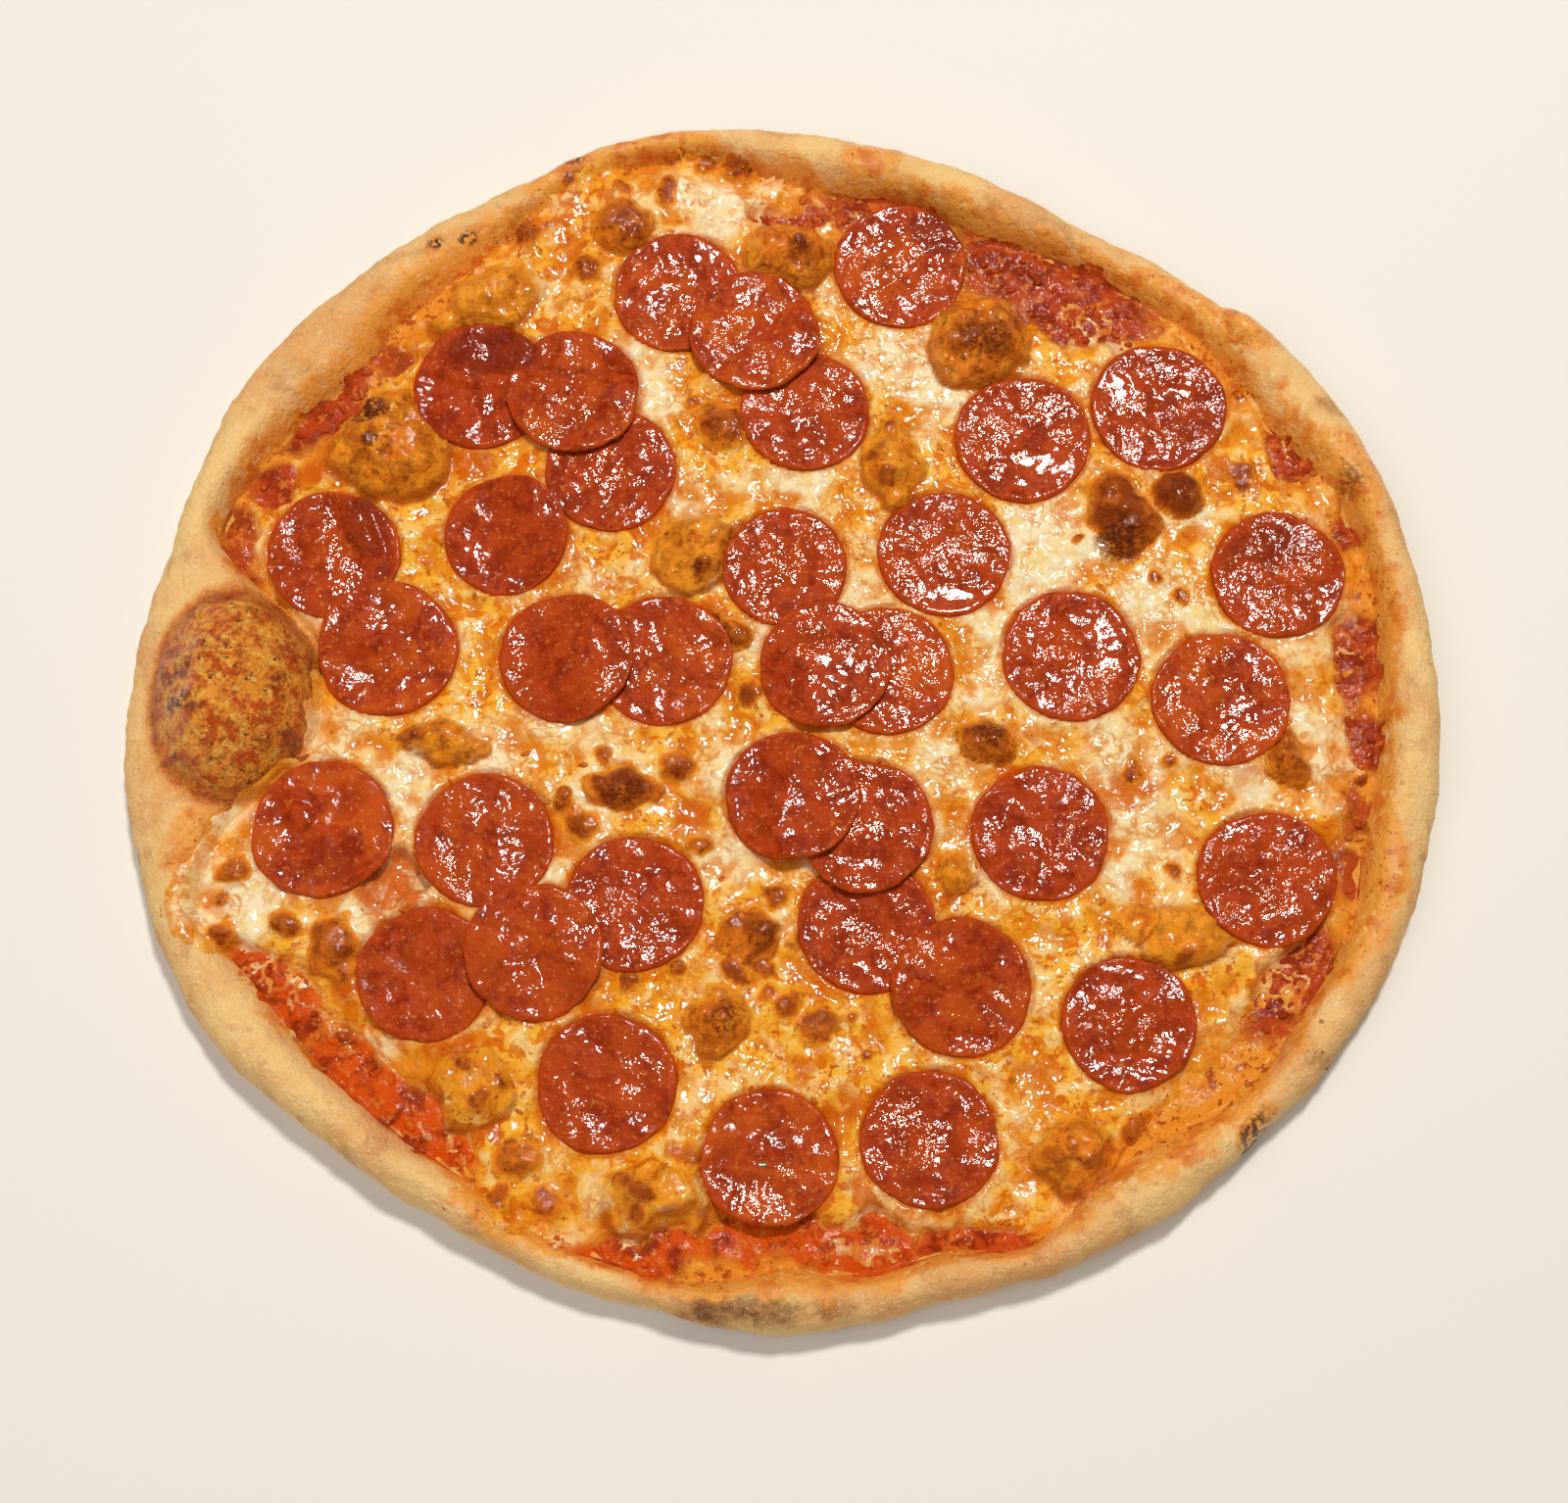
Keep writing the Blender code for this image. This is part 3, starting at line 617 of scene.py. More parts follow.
cheese = {
    "cell": 0.82,  # spacing of its points
    "level": 10.8,
    "low": 6.2,  # its hidden underside
    "ripples": [(10, 1.1, 81), (4.6, 0.6, 82), (2.1, 0.14, 83)],  # size across, height, seed
    "threads": [(5, 1, 71), (2.6, 0.5, 72)],
    "uneven": [(10, 1.9, 86), (4, 0.9, 87)],
    "goldUneven": [(20, 6, 105)],
    "charUneven": [(2, 0.9, 103)],
    "ragged": 3.5,
    "spread": 5.5,  # how much further it runs where the sauce isn't bare
    "collar": 1.0,  # how much it stands up against a slice
    "collarWidth": 2.2,
    "clear": 0.35,  # between it and a slice
    "sunk": 0.7,  # how far its edge is under the sauce's face
    "smear": 1.7,  # how thick it is where it runs out
    "string": 1.5,
    "margin": 9,  # how far past the solid's edge its points go
    "bubbles": [  # x, y, half sizes, turn, height, how brown
        (-101, 65, 17, 15.5, -30, 9, 0.55), (1.5, 118, 13, 9.5, 0, 8, 0.6),
        (50.5, 93.5, 13, 13, 0, 9.5, 0.65), (85.5, 46, 8, 11.5, 20, 6, 0.95),
        (100.5, 50.5, 6, 5.5, 0, 5, 1), (61.5, 110.5, 6.5, 6.5, 0, 4, 0.75), (68.5, -116, 10, 9, 0, 7, 0.6),
        (96.5, -63.5, 11, 8, 0, 6, 0.4), (-29.5, -126.5, 13, 10, 0, 6, 0.3),
        (-74.5, -100.5, 10, 10, 0, 6, 0.3), (27.5, 59, 8, 12, 0, 5, 0.5),
        (-22.5, 33.5, 10, 10.5, 0, 6, 0.5), (-39.5, -26.5, 9, 5.5, 0, 4, 0.9),
        (-15.5, -84.5, 8, 9, 0, 5, 0.65), (49.5, -15.5, 7, 6, 0, 5, 0.8),
        (-83.5, -15.5, 10, 5.5, -8, 5.5, 0.5), (-108.5, -66.5, 5.5, 8, 0, 4, 0.8),
        (123.5, -19.5, 5.5, 6.5, 0, 5, 0.8), (-78.5, 104.5, 16, 11, 20, 6, 0.45),
        (41.5, -48.5, 5, 5.5, 0, 3, 0.5), (-8.5, -63.5, 7, 7, 0, 3, 0.8),
        (-42.5, 126.5, 8.5, 8, 0, 4.5, 0.85), (83, -110.5, 5, 5, 0, 3.5, 0.7), (-13, 12.5, 5, 5, 0, 3, 0.8),
        (115, -83.5, 6, 6, 0, 3.5, 0.5), (84.5, -60.5, 5, 5, 0, 3, 0.5)],
    "blisters": [  # small brown ones: x, y, radius
        (4, 117, 3), (-56.5, 140.5, 4), (-64.5, 127.5, 3.5), (-66.5, 123.5, 4), (-31.5, 146.5, 2.5),
        (-37.5, 150.5, 2), (-20.5, 146.5, 4), (-11.5, 145.5, 4.5), (-31.5, 137.5, 3.5), (-42.5, 137.5, 2.5),
        (-41.5, 143.5, 2), (-51.5, 114.5, 4), (-15.5, 69.5, 6.5), (-23.5, 75.5, 2.5), (93.5, 28, 2.4),
        (99.5, 22, 1.8), (74.5, 39.5, 1.6), (115.5, 55.5, 3.5), (118.5, 78.5, 2.5), (7.5, -85, 4.5),
        (-5.5, -78.5, 2.5), (2.5, -78.5, 1.8), (-0.5, -81.5, 3.5), (16.5, -83.5, 2), (20.5, -92.5, 1.5),
        (5, -64.5, 3), (-4.5, -62.5, 3.5), (-4.5, -71.5, 2.5), (-11.5, -72.5, 3), (-37.5, -74.5, 3.5),
        (-26.5, -71.5, 2), (-23.5, -116.5, 3.5), (-8.5, -2.5, 3), (-26.5, -21.5, 4), (-21.5, -40.5, 3),
        (-49.5, -35.5, 4), (-53.5, -30.5, 3), (-44.5, -18.5, 2), (-2.5, -53.5, 3), (-120.5, -60.5, 4),
        (-134.5, -63.5, 3), (-134.5, -47.5, 3.5), (-136.5, -55.5, 2), (-63.5, -117.5, 5.5),
        (-55.5, -127.5, 4), (-66.5, -126.5, 3), (95, -47.5, 2), (86.5, -22.5, 3), (95.5, -20, 1.6),
        (144, -26.5, 3.5), (146.5, -40, 3), (138.5, -31.5, 3), (27, 54, 3), (21.5, 59.5, 2),
        (27.5, 69.5, 2), (-20.5, 30, 3), (-22.5, 37.5, 2.6), (-37.5, -122.5, 3), (-32.5, -125.5, 3.5),
        (-35.5, -130.5, 2.5), (-76.5, -95.5, 2.5), (-72.5, -103.5, 2.5), (-67.5, -99.5, 2),
        (95.5, -68.5, 3), (-91.5, -14.5, 4), (-16.5, 16.5, 1.5)],
    "char": [
        (-105.5, 71.5, 5, 4, 0, 1), (-107.5, 75.5, 3, 2.5, 0, 1), (-105, 62, 2, 2, 0, 0.8),
        (51.5, 91, 6.5, 5, 0, 0.6), (85, 38, 6, 5, 20, 0.8), (101.5, 51, 4, 3, 30, 0.6),
        (-21, 29.5, 2.2, 2.2, 0, 0.7), (50, -14, 4, 3.5, 0, 0.7), (-39.5, -27.5, 6, 3.5, 0, 0.55),
        (-14.5, -84.5, 3, 3, 0, 0.6), (4, 117.5, 2.5, 2.5, 0, 0.6), (-6, -62.5, 3, 3, 0, 0.5)],
    # pale cream spots: partly the cheese's own colour, partly a painted highlight where the key light's glare
    # falls
    "paleAndGlare": [
        (35.5, 85.5, 15, 9, -15, 1), (-21, 135.5, 14, 6, -20, 0.9), (-33.5, 80, 6, 8, 0, 0.8),
        (94, 24, 10, 9, 0, 0.8), (92, -40, 6, 9, 0, 0.3), (-88.5, -23.5, 6, 6, 0, 0.8),
        (3, 54.5, 8, 4, 0, 0.8), (66, 34, 12, 18, 0, 0.8), (50, 12, 8, 12, 0, 0.6),
        (-121, -8, 8, 7, 0, 0.7), (129, -10, 6, 9, 0, 0.4), (-63, 105, 6, 6, 0, 0.6),
        (-15, -42, 8, 10, 0, 0.4), (-66, -14, 14, 8, 0, 0.5), (110, -28, 8, 6, 0, 0.2),
        (-126, -50, 12, 10, 30, 0.8), (-20, -104, 10, 8, 0, 0.5), (20, -48, 8, 8, 0, 0.4)],
    "gold": [
        (0, -100, 60, 30, 0, 1), (-40, -80, 50, 35, 0, 0.7), (60, -85, 40, 40, 0, 0.6),
        (-95, 60, 40, 40, 0, 0.9), (-40, 20, 50, 30, 0, 0.5), (100, -80, 30, 30, 0, 0.6),
        (-60, -110, 40, 30, 0, 0.8), (10, 60, 30, 20, 0, 0.4), (-60, 120, 30, 30, 0, 0.6),
        (130, 60, 25, 25, 0, 0.6), (70, 100, 40, 20, 0, 0.4), (-10, -20, 30, 30, 0, 0.3)],
    "oil": [
        (-117, 58.5, 10, 6, 30, 1), (-104.5, -76.5, 5, 5, 0, 1), (-22.5, -33.5, 5, 5, 0, 0.8),
        (11.5, -105.5, 7, 6, 0, 0.9), (-95.5, -50.5, 8, 8, 0, 0.9), (-88, -55, 8, 5, 30, 0.7),
        (58, -14, 4, 4, 0, 0.8), (-80, 60, 8, 5, -40, 0.8), (-58, 31, 6, 5, 0, 0.7),
        (-15, 12, 8, 8, 0, 0.6), (36, -52, 8, 8, 0, 0.7), (-30, 45, 10, 8, 0, 0.5), (20, 78, 4, 8, 0, 0.4),
        (-78, -92, 10, 6, -20, 0.7), (43, -100, 8, 5, 0, 0.6), (84, -27, 9, 5, -10, 0.8),
        (112, -20, 6, 8, 0, 0.5)],
    "calm": [
        (-117, 58, 8, 5, 30, 0.7), (-96, -50, 6, 5, 0, 0.7), (11, -104, 6, 4, 0, 0.8)],
    "runs": [  # where it has run out over the rim: angle, spread, how far
        (202, 7, 9), (243, 4, 6), (330, 6, 3)],
    "rosy": [
        (-54, 130, 15, 10, 60, 0.8), (-78, 106, 12, 7, 25, 0.6), (-42, 34, 9, 8, 0, 0.7),
        (-60, 25, 6, 4, 0, 0.7), (-90, -54, 12, 8, 30, 0.9), (-15, 14, 7, 8, 0, 0.6),
        (36, 92, 5, 6, 0, 0.4), (-112, 62, 14, 9, 40, 0.7), (35, -50, 7, 9, 0, 0.4),
        (118, 50, 14, 8, -50, 0.7), (116, -80, 10, 8, 50, 0.8), (-34, -66, 6, 5, 0, 0.4),
        (10, -128, 22, 8, 5, 0.8), (-78, -95, 10, 7, -30, 0.5), (-92, -92, 12, 7, -40, 0.6),
        (-62, 98, 8, 6, 0, 0.5)],
}


def cheeseEdge(x, y):
    angle, r = np.arctan2(y, x), np.hypot(x, y)
    rag = cheese["ragged"] * roughRelief(x, y, 11, 61) + cheese["spread"] * (1 - poolAt(x, y))
    rag = rag + runsAt(angle, cheese["runs"])
    return edgeAt(outlines["cheese"], angle) + rag - r


def threads(x, y):
    # Thin strings of cheese, 1 where one runs
    return smooth(0.32, 0.06, np.abs(waves(x, y, cheese["threads"])))


def cheeseHeight(x, y):
    edge = cheeseEdge(x, y)
    u, v = bent(x, y, cheese["uneven"])
    bare = poolAt(x, y)
    full = smooth(0, 9, edge)
    paleAndGlare = spots(x, y, cheese["paleAndGlare"], 0.9)
    curds = np.abs(relief(x + 2 * relief(x, y, 9, 116), y, 3.6, 117)) - 0.2
    ripple = waves(x, y, cheese["ripples"]) * (1 - 0.5 * paleAndGlare) + paleAndGlare * curds
    sheet = cheese["level"] + swell(x, y) + ripple
    hidden = sauceHeight(x, y) - cheese["sunk"]
    thin = hidden + cheese["smear"] * smooth(-2.5, 3, edge) + ripple * 0.7
    strung = np.maximum(spots(x, y, sauce["nets"], 0.7), 0.5 * smooth(-3, 2, edge))
    strings = hidden + cheese["string"] * threads(x, y) * strung
    z = np.maximum(thin + (np.maximum(sheet, thin) - thin) * full, strings)
    z = z * (1 - bare) + np.maximum(strings, hidden) * bare
    tall = domes(u, v, cheese["bubbles"]) * smooth(-1, 4, edge)
    small = domes(u, v, [(bx, by, r * 1.15, r * 1.15, 0, 0.5 * r) for bx, by, r in cheese["blisters"]])
    rugged = 0.2 * roughRelief(x, y, 7, 85) + 0.1 * roughRelief(x, y, 3, 119)
    z = z + tall * (1 + rugged) + small * smooth(-6, 0, edge)
    lowest, away = underSlices(x, y)
    collar = cheese["collar"] * (0.7 + 0.9 * relief(x, y, 7, 90))
    near = np.exp(-np.maximum(away, 0) / cheese["collarWidth"])
    z = z + collar * near * smooth(-2, 3, edge) * (tall < 3)
    return np.minimum(z, lowest - cheese["clear"]), edge, away, ripple


def makeCheese():
    cell = cheese["cell"]
    reach = outlines["cheese"].max() + 2 * cheese["margin"]
    n = int(reach / cell) + 1
    gx, gy = np.meshgrid(np.arange(-n, n + 1) * cell, np.arange(-n, n + 1) * cell, indexing="ij")
    gx = gx + 0.18 * relief(gx, gy, 1.7, 91)  # an even grid would show in the highlights
    gy = gy + 0.18 * relief(gx, gy, 1.7, 92)
    angle = np.arctan2(gy, gx)
    run = runsAt(angle, cheese["runs"])
    rimmed = (edgeAt(outlines["tomato_sauce"], angle) + edgeAt(outlines["crust"], angle)) / 2 + 0.4 * run
    outer = edgeAt(outlines["cheese"], angle) + cheese["margin"] + run
    kept = np.minimum(outer, rimmed) > np.hypot(gx, gy)
    square = kept[:-1, :-1] & kept[1:, :-1] & kept[1:, 1:] & kept[:-1, 1:]
    used = np.zeros_like(kept)
    for di in (0, 1):
        for dj in (0, 1):
            used[di:di + square.shape[0], dj:dj + square.shape[1]] |= square
    index = np.full(used.shape, -1)
    index[used] = np.arange(used.sum())
    x, y = gx[used], gy[used]
    z, edge, away, ripple = cheeseHeight(x, y)
    i, j = np.nonzero(square)
    corners = np.stack([index[i, j], index[i + 1, j], index[i + 1, j + 1], index[i, j + 1]], 1)
    sides = np.concatenate([corners[:, [k, (k + 1) % 4]] for k in range(4)])
    code = sides[:, 0] * (len(x) + 1) + sides[:, 1]
    twin = sides[:, 1] * (len(x) + 1) + sides[:, 0]
    rim = sides[~np.isin(code, twin)]
    follow = dict(rim.tolist())
    loop = [rim[0, 0]]
    while follow[loop[-1]] != loop[0]:
        loop.append(follow[loop[-1]])
    loop = np.array(loop)
    low = np.full(len(loop), cheese["low"])
    points = np.concatenate([np.stack([x, y, z], 1), np.stack([x[loop], y[loop], low], 1)])
    bottom = np.arange(len(loop)) + len(x)
    walls = np.stack([loop, bottom, np.roll(bottom, -1), np.roll(loop, -1)], 1)
    faces = list(corners) + list(walls) + [bottom[::-1]]
    u, v = bent(x, y, cheese["uneven"])
    brown = spots(u, v, [b[:5] + (b[6],) for b in cheese["bubbles"]], 0.6)
    brown = np.maximum(brown, spots(u, v, roundSpots(cheese["blisters"], 0.85), 0.8))
    fringe = smooth(cheese["spread"] + 3, 0, edge) * smooth(-3, 1, edge)
    pool = poolAt(x, y)
    gold = spots(*bent(x, y, cheese["goldUneven"]), cheese["gold"], 0.9)
    rich = 0.52 + 0.45 * gold + 0.45 * relief(x, y, 15, 108)
    # paler cream in those spots, partly a painted highlight of the glare
    rich = (rich - 0.55 * spots(u, v, cheese["paleAndGlare"], 0.9) - 0.3 * ripple) * (1 - 0.3 * pool)
    seepedOilAndShade = 0.7 * smooth(1.4, 0.0, away) + 0.5 * smooth(-0.3, -1.0, ripple)  # oil colour round slices, partly a painted shade at their edges, and in hollows
    reddened = 0.8 * smooth(2.5, -1, edge + 2 * relief(x, y, 5, 107))
    rosy = np.maximum(reddened, spots(u, v, cheese["rosy"], 0.9))
    bubbling = smooth(0.1, 0.8, relief(x, y, 22, 110) + 0.5 * relief(x, y, 6, 111))
    # Painted shade: a darker ring round the foot of each bubble, heaviest on its near (-y) side away from the
    # key light, partly oil colour
    foot = np.zeros_like(x)
    for shape in cheese["bubbles"]:
        near = np.exp(-((inside(u, v, shape) + 0.02) / 0.2) ** 2)
        foot = np.maximum(foot, near * np.clip(0.6 - 0.45 * (v - shape[1]) / shape[3], 0.15, 1))
    marks = {
        "brown": brown,
        "char": spots(*bent(x, y, cheese["charUneven"]), cheese["char"], 0.7),
        "rich": rich,
        "foot": foot,
        "hollow": smooth(0.1, -0.75, ripple + 0.25 * relief(x, y, 3, 118)),
        "fringe": fringe * (0.6 + 0.8 * relief(x, y, 12, 109)) * (1 - 0.8 * pool),
        "oil": np.maximum(np.maximum(spots(u, v, cheese["oil"], 0.9), 0.55 * pool), seepedOilAndShade),
        "red": np.maximum(rosy, 0.7 * pool),
        "calm": spots(u, v, cheese["calm"], 0.7),
        "frying": bubbling * smooth(0.5, 3, away),
    }
    marks = {name: np.concatenate([values, values[loop]]) for name, values in marks.items()}
    return makeMesh("meltedCheese", points, faces, marks)


# Salami

sliceMarks = {
    "darkUneven": [(5, 1, 460)],
    "calmUneven": [(4, 1, 462)],
    "dark": [
        (-75, 90, 12, 7, -10, 1), (40, 124, 8, 6, -30, 0.9), (107.5, 70, 6, 12, -30, 0.5),
        (-106, 42, 6, 9, 30, 0.7), (124, 36, 12, 5, 0, 0.6), (-38, 84, 3, 10, 0, 0.3)],
    "calm": [
        (66, 58, 8, 5, 20, 1), (43, 21, 8, 4.5, -10, 1), (84, 80, 5, 4, 0, 1), (100.5, 78, 5, 3, 0, 0.8),
        (-44, -96, 5, 4, 0, 0.7), (4, 22, 7, 5, 0, 0.7), (14, 2, 6, 5, 0, 0.7), (103, -2, 5, 4, 0, 0.7),
        (48, -128, 9, 6, 0, 0.6), (80, 10, 4, 8, 0, 0.8)],
    "matt": [
        (-95, -72, 14, 13, 0, 0.9), (-64, -55, 8, 6, 0, 0.6), (120, -46, 12, 10, 0, 0.5)],
    "folds": [
        (-107.5, 41, 3.2, 10, 25, 1.5), (-118.1, -34.5, 3, 3, 0, 1.3), (-78, 83, 14, 3.2, -12, 1.1)],
}


def makeSlice(k):
    cx, cy, radius = slices[k][:3]
    sectors, rings = salami["sectors"], salami["rings"]
    angle = np.arange(sectors) * turn / sectors
    ragged = 1 - 0.013 * (1 + np.sin(3 * angle + k)) - 0.009 * (1 + np.sin(5 * angle + 2 * k))
    ragged = ragged + salami["ragged"] * roughRelief(40 * np.cos(angle), 40 * np.sin(angle), 16, 200 + k)
    thick = salami["thick"]
    soft = salami["shoulder"]
    profile = []  # share of the radius and height, over the top and back along the underside
    for s in np.concatenate([np.linspace(0.04, 0.92, rings), [0.945, 0.965, 0.98, 0.991, 0.998, 1.0]]):
        over = max(0, (s - 1 + soft) / soft)
        profile.append((s, thick * 0.45 + thick * 0.55 * math.sqrt(max(0, 1 - over ** 2))))
    profile += [(0.996, thick * 0.3), (0.98, thick * 0.08)]
    profile += [(s, 0.0) for s in (0.94, 0.75, 0.5, 0.25, 0.04)]
    share = np.repeat([s for s, up in profile], sectors)
    up = np.repeat([u for s, u in profile], sectors)
    wave = np.tile(ragged, len(profile))
    way = np.tile(angle, len(profile))
    dx, dy = share * radius * wave * np.cos(way), share * radius * wave * np.sin(way)
    share = np.concatenate([share, [0.0, 0.0]])
    up = np.concatenate([up, [thick, 0.0]])
    x, y = cx + np.append(dx, [0, 0]), cy + np.append(dy, [0, 0])
    lumps = waves(x, y, salami["lumps"], k) + spots(x, y, sliceMarks["folds"], 0.95)
    calm = spots(*bent(x, y, sliceMarks["calmUneven"]), sliceMarks["calm"], 0.5)
    lumps = lumps * (1 - 0.8 * calm)
    z = sliceUnderside(k, x, y) + up + lumps * (up > thick * 0.4) * smooth(1.02, 0.93, share)
    count = len(profile)
    faces = []
    here = np.arange(sectors)
    ahead = np.roll(here, -1)
    for n in range(count - 1):
        faces.extend(strip(n * sectors, sectors))
    top, bottom = len(x) - 2, len(x) - 1
    faces.extend(np.stack([np.full(sectors, top), here, ahead], 1))
    last = (count - 1) * sectors
    faces.extend(np.stack([np.full(sectors, bottom), ahead + last, here + last], 1))
    tone = np.random.default_rng(900 + k).uniform(0, 1)
    dark = spots(*bent(x, y, sliceMarks["darkUneven"]), sliceMarks["dark"], 0.4)
    dry = smooth(0.1, 0.6, relief(x, y, 13, 520 + k))
    matt = np.maximum(spots(x, y, sliceMarks["matt"], 0.5), smooth(0.9, 0.99, share))
    matt = np.maximum(matt, np.maximum(0.7 * dark, 0.6 * dry))
    tone = np.full(len(x), tone)
    marks = {"edge": share, "tone": tone, "dark": dark, "lump": lumps, "calm": calm, "matt": matt}
    return makeMesh(f"salamiSlice{k + 1:02d}", np.stack([x, y, z], 1), faces, marks)


# Materials

def paint(tree, look, base, layers):
    # Lays a look's colours over its base, each as strong as stated where its value goes from low to high
    base = colour(look[base])
    for value, low, high, strength, name in layers:
        amount = addNode(tree, "ShaderNodeMapRange", 0, {"interpolation_type": "SMOOTHSTEP"}, Value=value,
                         From_Min=low, From_Max=high, To_Max=strength)
        base = addNode(tree, "ShaderNodeMix", 2, {"data_type": "RGBA"}, _0=amount, _6=base,
                       _7=colour(look[name]))
    return base


crustLook = {
    "noise": {"large": (26, 3, 0.6, 0), "middle": (7, 4, 0.6, 0), "small": (2.4, 4, 0.65, 0),
              "speck": (1.6, 4, 0.7, 0), "fine": (0.8, 3, 0.6, 0), "crackle": (4, 5, 0.75, 0.3)},
    "flour": "#ffd28b",
    "tan": "#f0b06c",
    "toast": "#b5723a",
    "deep": "#6b3f1d",
    "film": "#f6a744",
    "filmDeep": "#e5822a",
    "filmDark": "#a84c10",
    "blown": "#ffa02c",
    "blownPale": "#ffca5c",
    "blotch": "#cf520c",
    "foot": "#b64a1a",
    "blotchDark": "#943a0a",
    "fleck": "#66280a",
    "dust": "#fff0d2",
    "under": "#c89358",
    "char": "#3a2112",
}


def makeDoughMaterial():
    # Baked wheat dough dusted with flour: dry and matt, pale where floury, brown where it blistered
    material, tree, noise, (char, toast, film, bubble, foot, under) = newMaterial(
        "bakedFlouryDough", crustLook["noise"], ("char", "toast", "film", "bubble", "foot", "under"))
    toasted = addNode(tree, "ShaderNodeMapRange", Value=noise["middle"], From_Min=0.15, From_Max=0.6,
                      To_Max=toast)
    oiled = addNode(tree, "ShaderNodeMapRange", Value=noise["small"], From_Min=0.3, From_Max=0.5, To_Max=film)
    dusty = addNode(tree, "ShaderNodeMapRange", Value=film, To_Min=0.45, To_Max=0)
    base = paint(tree, crustLook, "flour", [
        (noise["large"], 0.38, 0.66, 1.0, "tan"),
        (noise["middle"], 0.52, 0.74, 0.5, "toast"),
        (toasted, 0.1, 0.8, 0.9, "toast"),
        (toasted, 0.55, 0.95, 0.8, "deep"),
        (oiled, 0.0, 0.8, 1.0, "film"),
        (noise["middle"], 0.5, 0.62, film, "filmDeep"),
        (noise["speck"], 0.6, 0.66, film, "filmDark"),
        (bubble, 0.0, 1.0, 0.9, "blown"),
        (noise["small"], 0.5, 0.38, bubble, "blownPale"),
        (noise["crackle"], 0.44, 0.6, bubble, "blotch"),
        (foot, 0.0, 1.0, 0.75, "foot"),
        (noise["middle"], 0.53, 0.7, bubble, "blotchDark"),
        (noise["speck"], 0.57, 0.66, bubble, "fleck"),
        (noise["fine"], 0.52, 0.7, dusty, "dust"),
        (noise["speck"], 0.47, 0.5, char, "char"),
        (under, 0.0, 1.0, 0.7, "under"),
    ])
    rough = addNode(tree, "ShaderNodeMapRange", Value=oiled, To_Min=0.8, To_Max=0.35)
    grainy = addNode(tree, "ShaderNodeMapRange", Value=film, To_Min=1.0, To_Max=0.1)
    wet = addNode(tree, "ShaderNodeMath", 0, {"operation": "MULTIPLY"}, _0=oiled, _1=0.8)
    normal = addNode(tree, "ShaderNodeBump", Height=noise["small"], Distance=0.8 * mm)
    normal = addNode(tree, "ShaderNodeBump", Height=noise["fine"], Distance=0.5 * mm, Strength=grainy,
                     Normal=normal)
    normal = addNode(tree, "ShaderNodeBump", Height=noise["crackle"], Distance=2.2 * mm, Strength=bubble,
                     Normal=normal)
    shine = addNode(tree, "ShaderNodeBump", Height=noise["speck"], Distance=0.35 * mm, Normal=normal)
    finishMaterial(tree, Base_Color=base, Roughness=rough, Normal=normal, Specular_IOR_Level=0.3,
                   Coat_Weight=wet, Coat_Roughness=0.06, Coat_Normal=shine,
                   Subsurface_Weight=0.1, Subsurface_Radius=(1.0, 0.5, 0.25), Subsurface_Scale=0.003)
    return material


sauceLook = {
    "noise": {"middle": (6, 4, 0.65, 0.5), "small": (2.2, 3, 0.6, 0), "grain": (1.3, 2, 0.5, 0)},
    "red": "#b9451a",
    "dark": "#8f2c0c",
    "orange": "#dc5406",
    "pulp": "#dc7a30",
    "film": "#ec962e",
    "filmDark": "#b3541a",
}


def makeSauceMaterial():
    # Reduced tomato pulp: moist and dark red, orange where oil has run into it
    material, tree, noise, (orange, film) = newMaterial(
        "reducedTomatoPulp", sauceLook["noise"], ("orange", "film"))
    base = paint(tree, sauceLook, "red", [
        (noise["middle"], 0.42, 0.6, 0.9, "dark"),
        (noise["middle"], 0.66, 0.4, orange, "orange"),
        (noise["small"], 0.54, 0.66, 0.8, "pulp"),
        (noise["middle"], 0.3, 0.5, film, "film"),
        (noise["small"], 0.54, 0.62, film, "filmDark"),
    ])
    normal = addNode(tree, "ShaderNodeBump", Height=noise["small"], Distance=0.9 * mm)
    normal = addNode(tree, "ShaderNodeBump", Height=noise["grain"], Distance=0.35 * mm, Normal=normal)
    shine = addNode(tree, "ShaderNodeBump", Height=noise["grain"], Distance=0.25 * mm)
    finishMaterial(tree, Base_Color=base, Roughness=0.5, Normal=normal, Specular_IOR_Level=0.08,
                   Coat_Weight=0.15, Coat_Roughness=0.08, Coat_Normal=shine,
                   Subsurface_Weight=0.1, Subsurface_Radius=(1.0, 0.25, 0.1), Subsurface_Scale=0.002)
    return material


cheeseLook = {
    "noise": {"wide": (13, 3, 0.6, 0.5), "middle": (5.5, 3, 0.6, 0.6), "small": (2.4, 3, 0.6, 0.3),
              "dots": (3.6, 5, 0.7, 0), "patch": (5, 3, 0.6, 0), "wet": (1.8, 1.5, 0.5, 0.4),
              "grain": (0.9, 3, 0.65, 0), "lace": (3.6, 2.5, 0.5, 0.7), "creamy": (4.4, 3, 0.6, 0.6)},
    "cream": "#ffeec4",
    "butter": "#ffdc90",
    "yellow": "#ffbb3c",
    "gold": "#ffae26",
    "pool": "#e67204",
    "hollow": "#e8860a",
    "lace": "#e4860e",
    "oil": "#d46104",
    "skin": "#cd6614",
    "film": "#ee9226",
    "fried": "#f89c26",
    "amber": "#e67a1a",
    "tan": "#bf611c",
    "crusted": "#953f10",
    # painted shade round the bubbles' feet, partly oil colour
    "foot": "#b6520c",
    "brown": "#82300c",
    "deep": "#7c3010",
    "burnt": "#56240e",
    "red": "#dc6c14",
}


